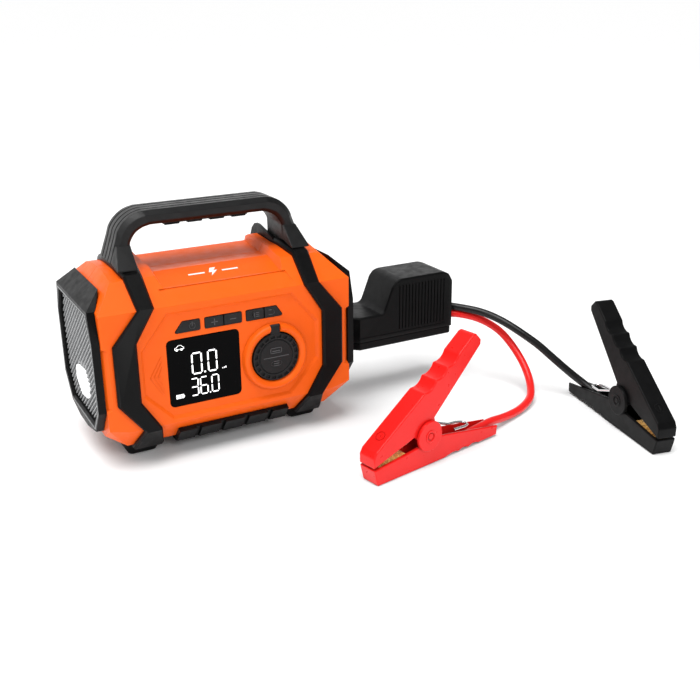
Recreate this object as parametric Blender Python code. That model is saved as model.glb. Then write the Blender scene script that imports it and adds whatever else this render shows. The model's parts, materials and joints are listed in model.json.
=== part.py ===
"""Jump starter pack: an orange battery pack with a work light, display, USB port and air
compressor, and a plug-in lead set with a red and a black clamp.

Frame: +X runs along the pack towards the lead socket, the display faces -Y, +Z is up and the
feet stand on z = 0 under the middle of the pack. Lengths below are in millimetres and each
mesh is scaled to metres once, when it is made.
"""

import math

import bmesh
import bpy
from mathutils import Matrix, Vector

MM = 0.001
GAP = 0.3
WALL = 2.5
SHARP_DEGREES = 30.0

# Pack casing
END_X = 100.0
SHOULDER_X = 84.0
FACE_Y = 54.0
CASE_MID_Z = 80.0
PANEL_Y = -52.0
CAVITY_TOP_Z = 131.0
CASE_PROFILE = [
    (-38, 14), (38, 14), (54, 32), (54, 124), (33, 142), (12, 146),
    (-12, 146), (-33, 142), (-54, 124), (-54, 32),
]
CASE_END = [
    (-38, 26), (38, 26), (54, 36), (54, 124), (34, 127.5),
    (-34, 127.5), (-54, 124), (-54, 36),
]

# Wrap-around bands: height above the casing and width of the chamfer along each edge
BAND_RISE = 4.0
BAND_EDGE = 1.6

# Work light: outline in Y and Z of its window in the casing's end
LIGHT_WINDOW = [
    (-36, 117), (36, 117), (43, 100), (43, 54), (30, 38), (-30, 38), (-43, 54), (-43, 100),
]

# Handle
HANDLE_TOP_Z = 186.5
FLARE_X = (61.9, 77.2)
FLARE_SIDE = [(14.0, 150.9), (31.0, 147.0), (31.2, 148.2), (16.4, 163.0)]

# Front panel
DISPLAY_BOX = (-52.0, 5.2, 43.8, 97.0)
KEY_Z = (101.8, 110.2)
PORT_CENTRE = (34.2, 69.6)
RING_OUTER_R = 27.2
CAP_R = 19.4
CAP_HINGE_Z = 95.0
CAP_HINGE_Y = -54.4

# Charging flap on the socket end: centre in Y and Z
FLAP_CENTRE = (-39.2, 55.7)

# Lead socket and smart module
SOCKET_Z = 60.0
AIR_CENTRE = (26.0, 98.0)
NOSE_START_X = 107.0
MODULE_END_X = 224.0
MODULE_HALF_W = 21.5

# Leads
LEAD_D = 6.8
RED_ROUTE = [
    (218.6, -5.0, 60.2), (229, -14, 60.4), (236, -19.8, 60.0), (246, -27, 57.5),
    (255, -35, 53.0), (262.5, -45, 46.0), (266.5, -57, 36.5), (267.5, -70, 26.5),
    (265.5, -82, 17.8), (260.5, -93, 11.0), (251.5, -104, 6.5), (239, -111.8, 4.4),
    (224.5, -118, 3.8), (206, -124.6, 5.6), (190, -130.0, 8.2), (175, -133.9, 8.0),
    (160, -137.2, 7.4),
]
BLACK_ROUTE = [
    (218.6, -3.0, 68.2), (229, -14.6, 67.4), (236.7, -23.0, 66.6), (244.3, -31.7, 65.4),
    (250.6, -40, 63.4), (256, -49.4, 60.6), (261.5, -60, 56.4), (268, -71, 50.4),
    (275.5, -81.7, 43.0), (282.0, -91.5, 34.8), (288.0, -100.5, 27.2), (294.2, -108.8, 20.0),
    (299.4, -117.6, 14.0), (301.4, -128, 9.8), (300.0, -138.5, 8.0), (298, -149, 7.5),
]

# Clamps: tip position on the floor and the heading from tip to tail
RED_CLAMP = ((61.4, -156.6), 11.0)
BLACK_CLAMP = ((280.0, -227.7), 78.5)
CLAMP_SCALE = 1.025
JAW_HALF_W = 8.2
JAW_WALL = 1.9
PIN_S = 48.0
PIN_H = 24.6
PIN_R = 2.6
HINGE_R = 8.4
EAR_R = 11.8

COLOURS = {
    "orange_plastic": ((0.94, 0.13, 0.02), 0.38, 0.0),
    "black_plastic": ((0.012, 0.012, 0.013), 0.48, 0.0),
    "black_rubber": ((0.018, 0.018, 0.019), 0.75, 0.0),
    "handle_plastic": ((0.02, 0.02, 0.021), 0.6, 0.0),
    "display_glass": ((0.004, 0.004, 0.005), 0.08, 0.0),
    "reflector_grey": ((0.38, 0.39, 0.4), 0.35, 0.6),
    "led_white": ((0.95, 0.96, 1.0), 0.2, 0.0),
    "circuit_green": ((0.02, 0.14, 0.06), 0.5, 0.0),
    "battery_foil": ((0.2, 0.35, 0.5), 0.4, 0.3),
    "steel": ((0.62, 0.63, 0.65), 0.25, 1.0),
    "copper": ((0.85, 0.45, 0.2), 0.3, 1.0),
    "red_plastic": ((0.9, 0.03, 0.02), 0.3, 0.0),
    "red_silicone": ((0.85, 0.035, 0.03), 0.42, 0.0),
    "black_silicone": ((0.015, 0.015, 0.016), 0.42, 0.0),
    "lcd_grey": ((0.25, 0.26, 0.28), 0.5, 0.0),
}


# ---------------------------------------------------------------- making and placing meshes
def clear_scene():
    for obj in list(bpy.data.objects):
        bpy.data.objects.remove(obj, do_unlink=True)


def material(slot):
    found = bpy.data.materials.get(slot)
    if found:
        return found
    colour, roughness, metallic = COLOURS[slot]
    made = bpy.data.materials.new(slot)
    made.use_nodes = True
    shader = made.node_tree.nodes["Principled BSDF"]
    shader.inputs["Base Color"].default_value = (*colour, 1.0)
    shader.inputs["Roughness"].default_value = roughness
    shader.inputs["Metallic"].default_value = metallic
    return made


def place(name, bm, slot, origin=(0, 0, 0), matrix=None, smooth=False):
    """Turns a bmesh in millimetres into an object in metres whose origin is given."""
    if matrix is not None:
        bmesh.ops.transform(bm, matrix=matrix, verts=bm.verts)
    bmesh.ops.recalc_face_normals(bm, faces=bm.faces)
    bmesh.ops.translate(bm, vec=-Vector(origin), verts=bm.verts)
    bmesh.ops.scale(bm, vec=(MM, MM, MM), verts=bm.verts)
    mesh = bpy.data.meshes.new(name)
    bm.to_mesh(mesh)
    bm.free()
    if smooth:
        mesh.shade_smooth()
        mesh.set_sharp_from_angle(angle=math.radians(SHARP_DEGREES))
    obj = bpy.data.objects.new(name, mesh)
    obj.location = Vector(origin) * MM
    bpy.context.scene.collection.objects.link(obj)
    if slot:
        mesh.materials.append(material(slot))
    return obj


def cutter(name, bm, matrix=None):
    obj = place(name, bm, None, matrix=matrix)
    obj.hide_render = True
    obj.display_type = "WIRE"
    return obj


def boolean(target, tool, operation="DIFFERENCE"):
    modifier = target.modifiers.new(tool.name, "BOOLEAN")
    modifier.object = tool
    modifier.operation = operation
    modifier.solver = "EXACT"
    return target


def hide_tool(tool):
    tool.hide_render = True
    tool.display_type = "WIRE"
    return tool


# ---------------------------------------------------------------- shapes, in millimetres
def hull(points):
    bm = bmesh.new()
    for point in points:
        bm.verts.new(point)
    result = bmesh.ops.convex_hull(bm, input=bm.verts)
    loose = [v for v in result["geom_interior"] if isinstance(v, bmesh.types.BMVert)]
    bmesh.ops.delete(bm, geom=loose, context="VERTS")
    bmesh.ops.dissolve_limit(bm, angle_limit=0.002, verts=bm.verts, edges=bm.edges)
    return bm


def loft(rings, closed=False):
    """A skin over rings of equal point counts, with flat ends, or joined end to start."""
    bm = bmesh.new()
    rows = [[bm.verts.new(point) for point in ring] for ring in rings]
    pairs = list(zip(rows, rows[1:]))
    if closed:
        pairs.append((rows[-1], rows[0]))
    for first, second in pairs:
        for i in range(len(first)):
            j = (i + 1) % len(first)
            bm.faces.new((first[i], first[j], second[j], second[i]))
    if not closed:
        bm.faces.new(rows[0])
        bm.faces.new(rows[-1])
    return bm


def axis_point(axis, along, a, b):
    """A point at `along` on the axis; a and b follow the remaining axes in X, Y, Z order."""
    return {"X": (along, a, b), "Y": (a, along, b), "Z": (a, b, along)}[axis]


def prism(outline, axis, low, high, inset=0.0):
    """An outline carried along an axis; inset shrinks the high end by an edge chamfer."""
    rings = [[axis_point(axis, low, a, b) for a, b in outline]]
    if inset:
        before = high - math.copysign(inset, high - low)
        rings.append([axis_point(axis, before, a, b) for a, b in outline])
        outline = shrink(outline, inset)
    rings.append([axis_point(axis, high, a, b) for a, b in outline])
    return loft(rings)


def shrink(outline, distance):
    """The outline moved inwards by a distance, corner by corner."""
    area = sum(
        a[0] * b[1] - b[0] * a[1] for a, b in zip(outline, outline[1:] + outline[:1])
    )
    side = 1.0 if area > 0 else -1.0
    moved = []
    for i, corner in enumerate(outline):
        before = Vector(outline[i - 1])
        here = Vector(corner)
        after = Vector(outline[(i + 1) % len(outline)])
        first = (here - before).normalized()
        second = (after - here).normalized()
        n1 = Vector((-first.y, first.x)) * side
        n2 = Vector((-second.y, second.x)) * side
        bisector = (n1 + n2).normalized()
        moved.append(tuple(here + bisector * distance / max(bisector.dot(n1), 0.3)))
    return moved


def rounded(outline, radius, steps=3):
    """The outline with each corner replaced by an arc."""
    points = []
    for i, corner in enumerate(outline):
        here = Vector(corner)
        to_before = (Vector(outline[i - 1]) - here).normalized()
        to_after = (Vector(outline[(i + 1) % len(outline)]) - here).normalized()
        half = to_before.angle(to_after) / 2
        reach = radius / math.tan(half)
        centre = here + (to_before + to_after).normalized() * radius / math.sin(half)
        start = here + to_before * reach - centre
        turn = math.pi - 2 * half
        if start.x * to_before.y - start.y * to_before.x > 0:
            turn = -turn
        for step in range(steps + 1):
            angle = turn * step / steps
            x = start.x * math.cos(angle) - start.y * math.sin(angle)
            y = start.x * math.sin(angle) + start.y * math.cos(angle)
            points.append((centre.x + x, centre.y + y))
    return points


def rectangle(a0, a1, b0, b1):
    return [(a0, b0), (a1, b0), (a1, b1), (a0, b1)]


def circle(a, b, radius, count=24):
    return [
        (a + radius * math.cos(2 * math.pi * i / count),
         b + radius * math.sin(2 * math.pi * i / count))
        for i in range(count)
    ]


def block(low, high, edge=0.0):
    """A box, with its four upright edges chamfered when edge is given."""
    outline = rectangle(low[0], high[0], low[1], high[1])
    if edge:
        outline = rounded(outline, edge, 1)
    return prism(outline, "Z", low[2], high[2])


def turned(profile, centre, axis, count=32):
    """A closed profile of (radius, along) points turned about an axis through centre."""
    rings = []
    for i in range(count):
        angle = 2 * math.pi * i / count
        ring = []
        for radius, along in profile:
            a = centre[0] + radius * math.cos(angle)
            b = centre[1] + radius * math.sin(angle)
            ring.append(axis_point(axis, along, a, b))
        rings.append(ring)
    return loft(rings, closed=True)


def disc(centre, radius, axis, low, high, count=32):
    return prism(circle(*centre, radius, count), axis, low, high)


# ---------------------------------------------------------------- casing
def case_points(margin=0.0):
    """Corners of the casing's outer form, moved inwards by a margin."""
    points = []
    for x, outline in ((SHOULDER_X, CASE_PROFILE), (END_X, CASE_END)):
        for y, z in outline:
            sy = (FACE_Y - margin) / FACE_Y
            sz = (66.0 - margin) / 66.0
            point = (x - margin, y * sy, CASE_MID_Z + (z - CASE_MID_Z) * sz)
            points += [point, (-point[0], point[1], point[2])]
    return points


def cavity_points():
    """Corners of the hollow inside the casing, kept below the scoop in its top."""
    points = []
    for x, outline in ((SHOULDER_X - WALL, CASE_PROFILE), (END_X - WALL, CASE_END)):
        for y, z in outline:
            inner_y = y * (FACE_Y - WALL) / FACE_Y
            inner_z = min(CAVITY_TOP_Z, CASE_MID_Z + (z - CASE_MID_Z) * 63.5 / 66.0)
            if inner_z == CAVITY_TOP_Z:
                inner_y *= 1.02
            points += [(x, inner_y, inner_z), (-x, inner_y, inner_z)]
    return points


def half_space(sign):
    """Everything in front of (sign -1) or behind (sign 1) the parting plane y = 0."""
    low, high = sorted((sign * GAP / 2, sign * 80.0))
    return block((-140, low, -10), (140, high, 170))


def panel_outline():
    return [(-50, 117), (49, 117), (70, 92), (70, 62), (46, 37), (-50, 37), (-70, 58), (-70, 92)]


def key_outlines():
    """Name, outline in X and Z, for each key of the three windows."""
    z0, z1 = KEY_Z
    return [
        ("power_key", [(-45.5, z0), (-25.2, z0), (-25.2, z1), (-38.5, z1)]),
        ("plus_key", [(-21.2, z0), (-6.8, z0), (-6.8, z1), (-21.2, z1)]),
        ("minus_key", [(-6.0, z0), (8.2, z0), (8.2, z1), (-6.0, z1)]),
        ("light_key", [(12.0, z0), (26.4, z0), (26.4, z1), (12.0, z1)]),
        ("return_key", [(27.2, z0), (42.6, z0), (37.0, z1), (27.2, z1)]),
    ]


def key_windows():
    z0, z1 = KEY_Z
    return [
        [(-46.2, z0 - 0.4), (-24.8, z0 - 0.4), (-24.8, z1 + 0.4), (-38.8, z1 + 0.4)],
        rectangle(-21.6, 8.6, z0 - 0.4, z1 + 0.4),
        [(11.6, z0 - 0.4), (43.3, z0 - 0.4), (37.3, z1 + 0.4), (11.6, z1 + 0.4)],
    ]


def scoop_cutter():
    """The hollow across the top between the shoulder ridges, with sloping side walls."""
    floor = [(-38, 134), (-16, 140.6), (-5, 139.4), (30, 142.6), (34, 141.2)]
    rings = []
    for x, spread in ((-52.0, 1.0), (-47.0, 0.0), (47.0, 0.0), (52.0, 1.0)):
        line = [(x, y, z + spread * 9.0) for y, z in floor]
        rings.append(line + [(x, 60, 141.2 + spread * 9.0), (x, 60, 170), (x, -60, 170),
                             (x, -60, 134 + spread * 9.0)])
    return loft(rings)


def facet_cutter():
    """A shallow facet in the front slope, from the lip of the scoop to the front edge."""
    corners = [(-52.0, -42.9, 134.6), (50.5, -42.9, 134.6), (54.5, -54.2, 124.0),
               (-45.0, -54.2, 124.0)]
    root = [(-51.2, -40.9, 133.6), (49.7, -40.9, 133.6)]
    outside = [(x, -60.0, z) for x, z in ((-52, 140), (50.5, 140), (54.5, 124), (-45, 124))]
    return hull(corners + root + outside)


def shoulder(sign):
    """A low ridge beside the scoop, highest towards the rear."""
    side = [(-20, 141.5), (-20, 144.4), (8, 147.0), (27, 148.0), (33, 145.5), (37, 138.5)]
    low, high = sorted((sign * 49.5, sign * 57.6))
    return prism(side, "X", low, high)


def edge_cutters():
    """Wedges that bevel the four upright corners beside the wide part of each band."""
    tools = []
    for sx in (-1, 1):
        for sy in (-1, 1):
            low = [(94.5, 55), (101, 48.5), (101, 55)]
            rings = []
            for z, grow in ((46, 0.0), (52, 1.0), (98, 1.0), (104, 0.0)):
                ring = []
                for x, y in low:
                    reach = 6.5 * (1.0 - grow)
                    ring.append((sx * (x + reach), sy * (y + reach), z))
                rings.append(ring)
            tools.append(loft(rings))
    return tools


def end_window(sign):
    """The hole in an end wall behind the light, or for the lead socket."""
    if sign < 0:
        return prism(shrink(LIGHT_WINDOW, 6.0), "X", -104, -90)
    return prism(rectangle(-17, 17, SOCKET_Z - 12, SOCKET_Z + 12), "X", 90, 104)


def make_casing():
    shells = []
    for name, sign in (("front_shell", -1), ("rear_shell", 1)):
        shell = place(name, hull(case_points()), "orange_plastic")
        inner = cutter(name + "_hollow", hull(cavity_points()))
        side = cutter(name + "_side", half_space(sign))
        boolean(shell, side, "INTERSECT")
        boolean(shell, inner)
        shells.append(shell)
    front, rear = shells
    for shell, sign in ((front, -1), (rear, 1)):
        for side in (-1, 1):
            name = f"{shell.name}_shoulder_{side + 1}"
            ridge = cutter(name, shoulder(side))
            boolean(ridge, cutter(name + "_side", half_space(sign)), "INTERSECT")
            boolean(shell, ridge, "UNION")
    shared = [("scoop", scoop_cutter()), ("light_window", end_window(-1)),
              ("socket_window", end_window(1))]
    shared += [(f"corner_bevel_{i}", tool) for i, tool in enumerate(edge_cutters())]
    for name, bm in shared:
        tool = cutter("cut_" + name, bm)
        boolean(front, tool)
        boolean(rear, tool)
    outer = [(x, -56.0, z) for x, z in shrink(panel_outline(), -4.5)]
    inner = [(x, PANEL_Y, z) for x, z in panel_outline()]
    boolean(front, cutter("cut_panel", loft([outer, inner])))
    x0, x1, z0, z1 = DISPLAY_BOX
    display = rounded(rectangle(x0 - GAP, x1 + GAP, z0 - GAP, z1 + GAP), 3.8)
    boolean(front, cutter("cut_display", prism(display, "Y", -60, -45)))
    for i, outline in enumerate(key_windows()):
        boolean(front, cutter(f"cut_keys_{i}", prism(rounded(outline, 1.2, 2), "Y", -60, -45)))
    boolean(front, cutter("cut_facet", facet_cutter()))
    boolean(front, cutter("cut_port", disc(PORT_CENTRE, 21.3, "Y", -60, -45)))
    boolean(rear, cutter("cut_air", disc(AIR_CENTRE, 6.4, "X", 90, 104, 20)))
    return front, rear


# ---------------------------------------------------------------- bands, feet and guard
def band_path():
    """Stations round the casing: centre-line y and z, edges and outward direction."""
    front = [
        (-12.0, 146.0, 58.0, 76.5, (-0.1, 1.0)), (-33.0, 142.0, 60.5, 74.5, (-0.45, 0.89)),
        (-54.0, 124.0, 60.0, 72.5, (-0.9, 0.43)), (-54.0, 100.5, 75.0, 92.5, (-1.0, 0.0)),
        (-54.0, 54.5, 75.0, 92.5, (-1.0, 0.0)), (-54.0, 32.0, 61.0, 74.5, (-0.93, -0.36)),
        (-38.0, 14.0, 56.0, 80.0, (-0.4, -0.92)),
    ]
    back = [(-y, z, a, b, (-ny, nz)) for y, z, a, b, (ny, nz) in reversed(front)]
    return front + back


def band_section(station, sign, rise, edge):
    y, z, inner, outer, (ny, nz) = station
    scale = 1.0 / max(abs(ny), abs(nz), 0.92)
    low = GAP * scale
    points = [
        (inner, low), (inner, rise - edge), (inner + edge, rise), (outer - edge, rise),
        (outer, rise - edge), (outer, low),
    ]
    return [
        (sign * x, y + ny * scale * out, z + nz * scale * out) for x, out in points
    ]


def make_bands():
    for name, sign in (("left_band", -1), ("right_band", 1)):
        stations = []
        for station in band_path():
            stations.append(band_section(station, sign, BAND_RISE, BAND_EDGE))
        band = place(name, loft(stations, closed=True), "black_plastic")
        fin = [(-4, 148.6), (-2, 150.2), (18, 153.4), (27, 155.4), (33, 155.2), (39, 150.5),
               (42.5, 143.5), (38, 140), (30, 143.5), (12, 148.6)]
        fin_x = sorted((sign * 58.2, sign * 61.3))
        tool = hide_tool(place(name + "_fin", prism(fin, "X", *fin_x), None))
        boolean(band, tool, "UNION")


def make_feet():
    for x_name, sx in (("left", -1), ("right", 1)):
        for y_name, sy in (("front", -1), ("rear", 1)):
            x0, x1 = sorted((sx * 54.5, sx * 84.0))
            y0, y1 = sorted((sy * 8.0, sy * 28.0))
            rings = []
            for z, inset in ((9.6, 0.0), (6.5, 0.6), (1.0, 3.4), (0.0, 4.4)):
                plan = rectangle(x0 + inset, x1 - inset, y0 + inset * 0.4, y1 - inset * 0.4)
                rings.append([(x, y, z) for x, y in rounded(plan, 2.6, 2)])
            bm = loft(rings)
            place(f"foot_{y_name}_{x_name}", bm, "black_rubber")


def make_guard():
    """The ribbed guard under the casing, its teeth showing below the display."""
    side = [(-38.1, 13.7), (-46.9, 23.6), (-50.4, 21.4), (-42.0, 10.6), (-38.0, 9.6),
            (38.0, 9.6), (42.0, 10.6), (50.4, 21.4), (46.9, 23.6), (38.1, 13.7)]
    plate = place("bottom_guard", prism(side, "X", -46, 46), "black_plastic")
    for i in range(4):
        centre = -30.0 + 20.0 * i
        slot = rectangle(centre - 2.0, centre + 2.0, 4.0, 11.0)
        boolean(plate, cutter(f"cut_guard_{i}", prism(slot, "Y", -60, 60)))
        for sy in (-1, 1):
            groove = [(sy * 40, 6), (sy * 55, 20), (sy * 51.0, 25.0), (sy * 48.4, 22.2),
                      (sy * 40.6, 12.0)]
            bm = prism(groove, "X", centre - 1.95, centre + 1.95)
            boolean(plate, cutter(f"cut_guard_{i}_{sy + 1}", bm))


# ---------------------------------------------------------------- handle
def handle_stations():
    """Outer and inner point in X and Z, and half depth, from the left foot to the right."""
    right = [
        ((0.0, HANDLE_TOP_Z), (0.0, 175.6), 16.5),
        ((43.5, HANDLE_TOP_Z), (41.0, 175.6), 16.5),
        ((52.0, 186.0), (46.5, 175.2), 16.5),
        ((59.3, 183.4), (51.6, 173.8), 16.5),
        ((65.3, 178.8), (56.4, 170.8), 16.5),
        ((69.6, 173.0), (59.8, 166.4), 16.6),
        ((71.8, 166.6), (61.4, 162.0), 16.8),
        ((77.4, 150.8), (61.8, 150.8), 17.6),
    ]
    left = [((-a, b), (-c, d), h) for (a, b), (c, d), h in reversed(right[1:])]
    return left + right


def handle_section(outer, inner, half):
    """An eight-sided section with chamfered edges between the outer and inner point."""
    out = Vector(outer)
    into = Vector(inner) - out
    depth = into.length
    step = into.normalized()
    levels = [(half - 3.4, 0.0), (half, 2.8), (half, depth - 3.0), (half - 3.0, depth)]
    points = []
    for y, down in levels:
        at = out + step * down
        points.append((at.x, y, at.y))
    for y, down in reversed(levels):
        at = out + step * down
        points.append((at.x, -y, at.y))
    return points


def make_handle():
    rings = [handle_section(*station) for station in handle_stations()]
    handle = place("handle", loft(rings), "handle_plastic")
    for sx in (-1, 1):
        points = [(sx * x, -y, z) for x in FLARE_X for y, z in FLARE_SIDE]
        flare = hide_tool(place(f"handle_flare_{sx + 1}", hull(points), None))
        boolean(handle, flare, "UNION")
    pad = place("handle_pad", block((-34, -10.5, 174.2), (34, 10.5, 175.3)), "black_rubber")
    for i in range(4):
        x = -34.0 + 18.0 * i
        rib = [(x + 0.5, 174.6), (x + 1.5, 173.0), (x + 12.5, 173.0), (x + 13.5, 174.6)]
        tool = hide_tool(place(f"pad_rib_{i}", prism(rib, "Y", -10, 10), None))
        boolean(pad, tool, "UNION")


# ---------------------------------------------------------------- work light
def end_outline():
    """Outline in Y and Z of the black end pieces where they face outwards."""
    return [(-45, 126), (45, 126), (51, 104), (51, 50), (36, 30), (12, 25), (-12, 25),
            (-36, 30), (-51, 50), (-51, 104)]


def end_piece(sign):
    points = [(sign * 105.8, y, z) for y, z in end_outline()]
    points += [(sign * 99.6, y * 1.02, z) for y, z in end_outline()]
    points += [(sign * 93.0, y, 138.4) for y in (-33.0, 33.0)]
    return hull(points)


def make_light():
    bezel = place("light_bezel", end_piece(-1), "black_plastic")
    case = hull(case_points(-GAP))
    boolean(bezel, cutter("cut_bezel_case", case))
    mouth = [(-107.0, shrink(LIGHT_WINDOW, -5.6)), (-104.4, shrink(LIGHT_WINDOW, -3.4)),
             (-90.0, shrink(LIGHT_WINDOW, -3.4))]
    rings = [[(x, y, z) for y, z in outline] for x, outline in mouth]
    boolean(bezel, cutter("cut_bezel_mouth", loft(rings)))
    plate_outline = shrink(LIGHT_WINDOW, -3.0)
    plate = place("light_reflector", prism(plate_outline, "X", -101.6, -100.4), "reflector_grey")
    led = [(-16, 59), (-6, 69), (14, 67), (18, 56), (4, 45.5), (-12, 47.5)]
    boolean(plate, cutter("cut_led", prism(shrink(led, -GAP), "X", -104, -86)))
    place("light_lens", prism(led, "X", -98.0, -102.4, inset=0.6), "led_white")


def make_socket_end():
    cover = place("end_cover", end_piece(1), "black_plastic")
    boolean(cover, cutter("cut_cover_case", hull(case_points(-GAP))))
    opening = rectangle(-16.5, 16.5, SOCKET_Z - 11.5, SOCKET_Z + 11.5)
    boolean(cover, cutter("cut_cover_socket", prism(opening, "X", 90, 110)))
    air = disc(AIR_CENTRE, 7.0, "X", 90, 110, 20)
    boolean(cover, cutter("cut_cover_air", air))
    y, z = FLAP_CENTRE
    pocket = rectangle(y - 7.9, y + 7.9, z - 5.9, z + 6.4)
    boolean(cover, cutter("cut_cover_flap", prism(pocket, "X", 102.6, 110)))
    port_hole = rectangle(y - 5.5, y + 5.5, z - 3.1, z + 3.1)
    boolean(cover, cutter("cut_cover_port", prism(port_hole, "X", 98.0, 103.0)))
    housing = prism(rectangle(-16, 16, SOCKET_Z - 11, SOCKET_Z + 11), "X", 82.0, 104.0)
    socket = place("jump_socket", housing, "black_plastic")
    for i, y in enumerate((-7.6, 7.6)):
        bore = prism(circle(y, SOCKET_Z, 6.2, 20), "X", 86.0, 110.0)
        boolean(socket, cutter(f"cut_socket_{i}", bore))
    nipple = turned([(2.0, 92.0), (5.6, 92.0), (5.6, 100.2), (4.4, 101.0), (4.4, 105.4),
                     (2.0, 105.4)], AIR_CENTRE, "X", 24)
    place("air_outlet", nipple, "copper", smooth=True)


def make_flap():
    """A rubber flap over the charging port, hinged at its top, with a tab at its lower edge."""
    y, z = FLAP_CENTRE
    outline = rounded(rectangle(y - 7.3, y + 7.3, z - 5.3, z + 5.3), 1.5, 2)
    flap = place("charge_flap", prism(outline, "X", 103.0, 105.2), "black_rubber",
                 origin=(104.1, y, z + 4.7))
    root = [(104.9, y + a, z + b) for a in (-6.6, -1.4) for b in (-4.6, -1.0)]
    tip = [(108.0, y + a, z + b) for a in (-6.0, -2.0) for b in (-4.0, -2.4)]
    boolean(flap, hide_tool(place("flap_tab", hull(root + tip), None)), "UNION")
    port = prism(rounded(rectangle(y - 5.0, y + 5.0, z - 2.6, z + 2.6), 1.2, 2), "X", 100.3, 102.2)
    place("charge_port", port, "steel")


# ---------------------------------------------------------------- front panel
def make_display():
    x0, x1, z0, z1 = DISPLAY_BOX
    outline = rounded(rectangle(x0, x1, z0, z1), 3.5, 4)
    place("display_window", prism(outline, "Y", -49.8, -52.3), "display_glass")
    place("display_module", block((x0 + 2, -49.4, z0 + 2), (x1 - 2, -45.6, z1 - 2)), "lcd_grey")


def make_keys():
    for name, outline in key_outlines():
        shape = prism(rounded(outline, 0.9, 2), "Y", -48.4, -52.9)
        centre = sum(x for x, _ in outline) / len(outline)
        place(name, shape, "black_rubber", origin=(centre, -50.5, sum(KEY_Z) / 2))
    place("key_board", block((-46, -46.4, 100.5), (43, -44.9, 111.5)), "circuit_green")


def make_port():
    ring_profile = [
        (20.3, -50.2), (20.9, -50.2), (20.9, -52.3), (RING_OUTER_R, -52.3),
        (26.4, -55.6), (24.6, -57.4), (22.6, -57.0), (20.3, -54.6),
    ]
    ring = place("port_ring", turned(ring_profile, PORT_CENTRE, "Y", 40), "orange_plastic",
                 smooth=True)
    cx, cz = PORT_CENTRE
    notch = rectangle(cx - 4.3, cx + 4.3, cz + 15, CAP_HINGE_Z + 2.0)
    boolean(ring, cutter("cut_ring_notch", prism(notch, "Y", -60, -52.8)))
    origin = (cx, CAP_HINGE_Y, CAP_HINGE_Z)
    cap_profile = [
        (16.6, -51.6), (CAP_R, -51.6), (CAP_R, -55.2), (18.8, -55.9), (16.2, -55.9),
        (15.2, -55.2), (0.0, -55.2), (0.0, -53.0), (16.6, -53.0),
    ]
    cap = place("port_cap", lathe_solid(cap_profile, PORT_CENTRE, "Y", 40), "black_rubber",
                origin=origin, smooth=True)
    tab = prism(rectangle(cx - 3.8, cx + 3.8, cz + 17.5, CAP_HINGE_Z), "Y", -55.5, -53.4)
    boolean(cap, hide_tool(place("cap_tab", tab, None)), "UNION")
    barrel = prism(circle(CAP_HINGE_Y, CAP_HINGE_Z, 1.05, 12), "X", cx - 3.8, cx + 3.8)
    boolean(cap, hide_tool(place("cap_barrel", barrel, None)), "UNION")
    plate = place("port_plate", disc(PORT_CENTRE, 19.9, "Y", -50.4, -48.2), "black_plastic",
                  smooth=True)
    usb_a = rectangle(cx - 6.8, cx + 6.8, cz + 1.8, cz + 8.2)
    usb_c = rounded(rectangle(cx - 4.9, cx + 4.9, cz - 7.2, cz - 3.4), 1.6, 3)
    boolean(plate, cutter("cut_usb_a", prism(shrink(usb_a, -GAP), "Y", -52, -46)))
    boolean(plate, cutter("cut_usb_c", prism(shrink(usb_c, -GAP), "Y", -52, -46)))
    for name, outline in (("usb_a_port", usb_a), ("usb_c_port", usb_c)):
        body = place(name, prism(outline, "Y", -50.2, -38.0), "steel")
        mouth = prism(shrink(outline, 0.8), "Y", -51.0, -40.5)
        boolean(body, cutter("cut_" + name, mouth))


def lathe_solid(profile, centre, axis, count):
    """A turned solid whose profile touches the axis at two points."""
    bm = turned(profile, centre, axis, count)
    bmesh.ops.remove_doubles(bm, verts=bm.verts, dist=1e-4)
    return bm


# ---------------------------------------------------------------- inside the casing
def make_insides():
    place("main_board", block((-44, -34, 36), (46, -32.2, 114)), "circuit_green")
    for i in range(3):
        y = -27.0 + 9.0 * i
        place(f"battery_cell_{i + 1}", block((-84, y, 30), (-8, y + 8.2, 112), 1.5),
              "battery_foil")
    motor = prism(circle(22.0, 60.0, 14.0, 24), "X", 16.0, 52.0)
    place("compressor_motor", motor, "steel", smooth=True)
    pump = place("compressor_pump", block((54.0, 8, 42), (74.0, 36, 78)), "reflector_grey")
    head = prism(circle(64.0, 22.0, 9.0, 20), "Z", 70.0, 104.0)
    boolean(pump, hide_tool(place("pump_head", head, None)), "UNION")
    hub = place("cooling_fan", prism(circle(22.0, 60.0, 3.2, 16), "X", 6.0, 13.0),
                "black_plastic", origin=(9.5, 22.0, 60.0), smooth=True)
    for i in range(5):
        angle = 2 * math.pi * i / 5
        blade = block((8.0, 1.5, -2.4), (10.0, 13.0, 2.4))
        turn = Matrix.Translation((0, 22.0, 60.0)) @ Matrix.Rotation(angle, 4, "X")
        tool = hide_tool(place(f"fan_blade_{i}", blade, None, matrix=turn))
        boolean(hub, tool, "UNION")


def make_screws():
    for i, (x, z) in enumerate(((-48, 112), (48, 112), (-48, 42), (48, 42))):
        head = turned([(0.0, 54.3), (0.0, 55.9), (2.6, 55.9), (3.2, 55.2), (3.2, 54.3)],
                      (x, z), "Y", 16)
        bmesh.ops.remove_doubles(head, verts=head.verts, dist=1e-4)
        screw = place(f"case_screw_{i + 1}", head, "steel", smooth=True)
        slot = block((x - 2.2, 55.2, z - 0.45), (x + 2.2, 57, z + 0.45))
        boolean(screw, cutter(f"cut_screw_{i + 1}", slot))


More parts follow.
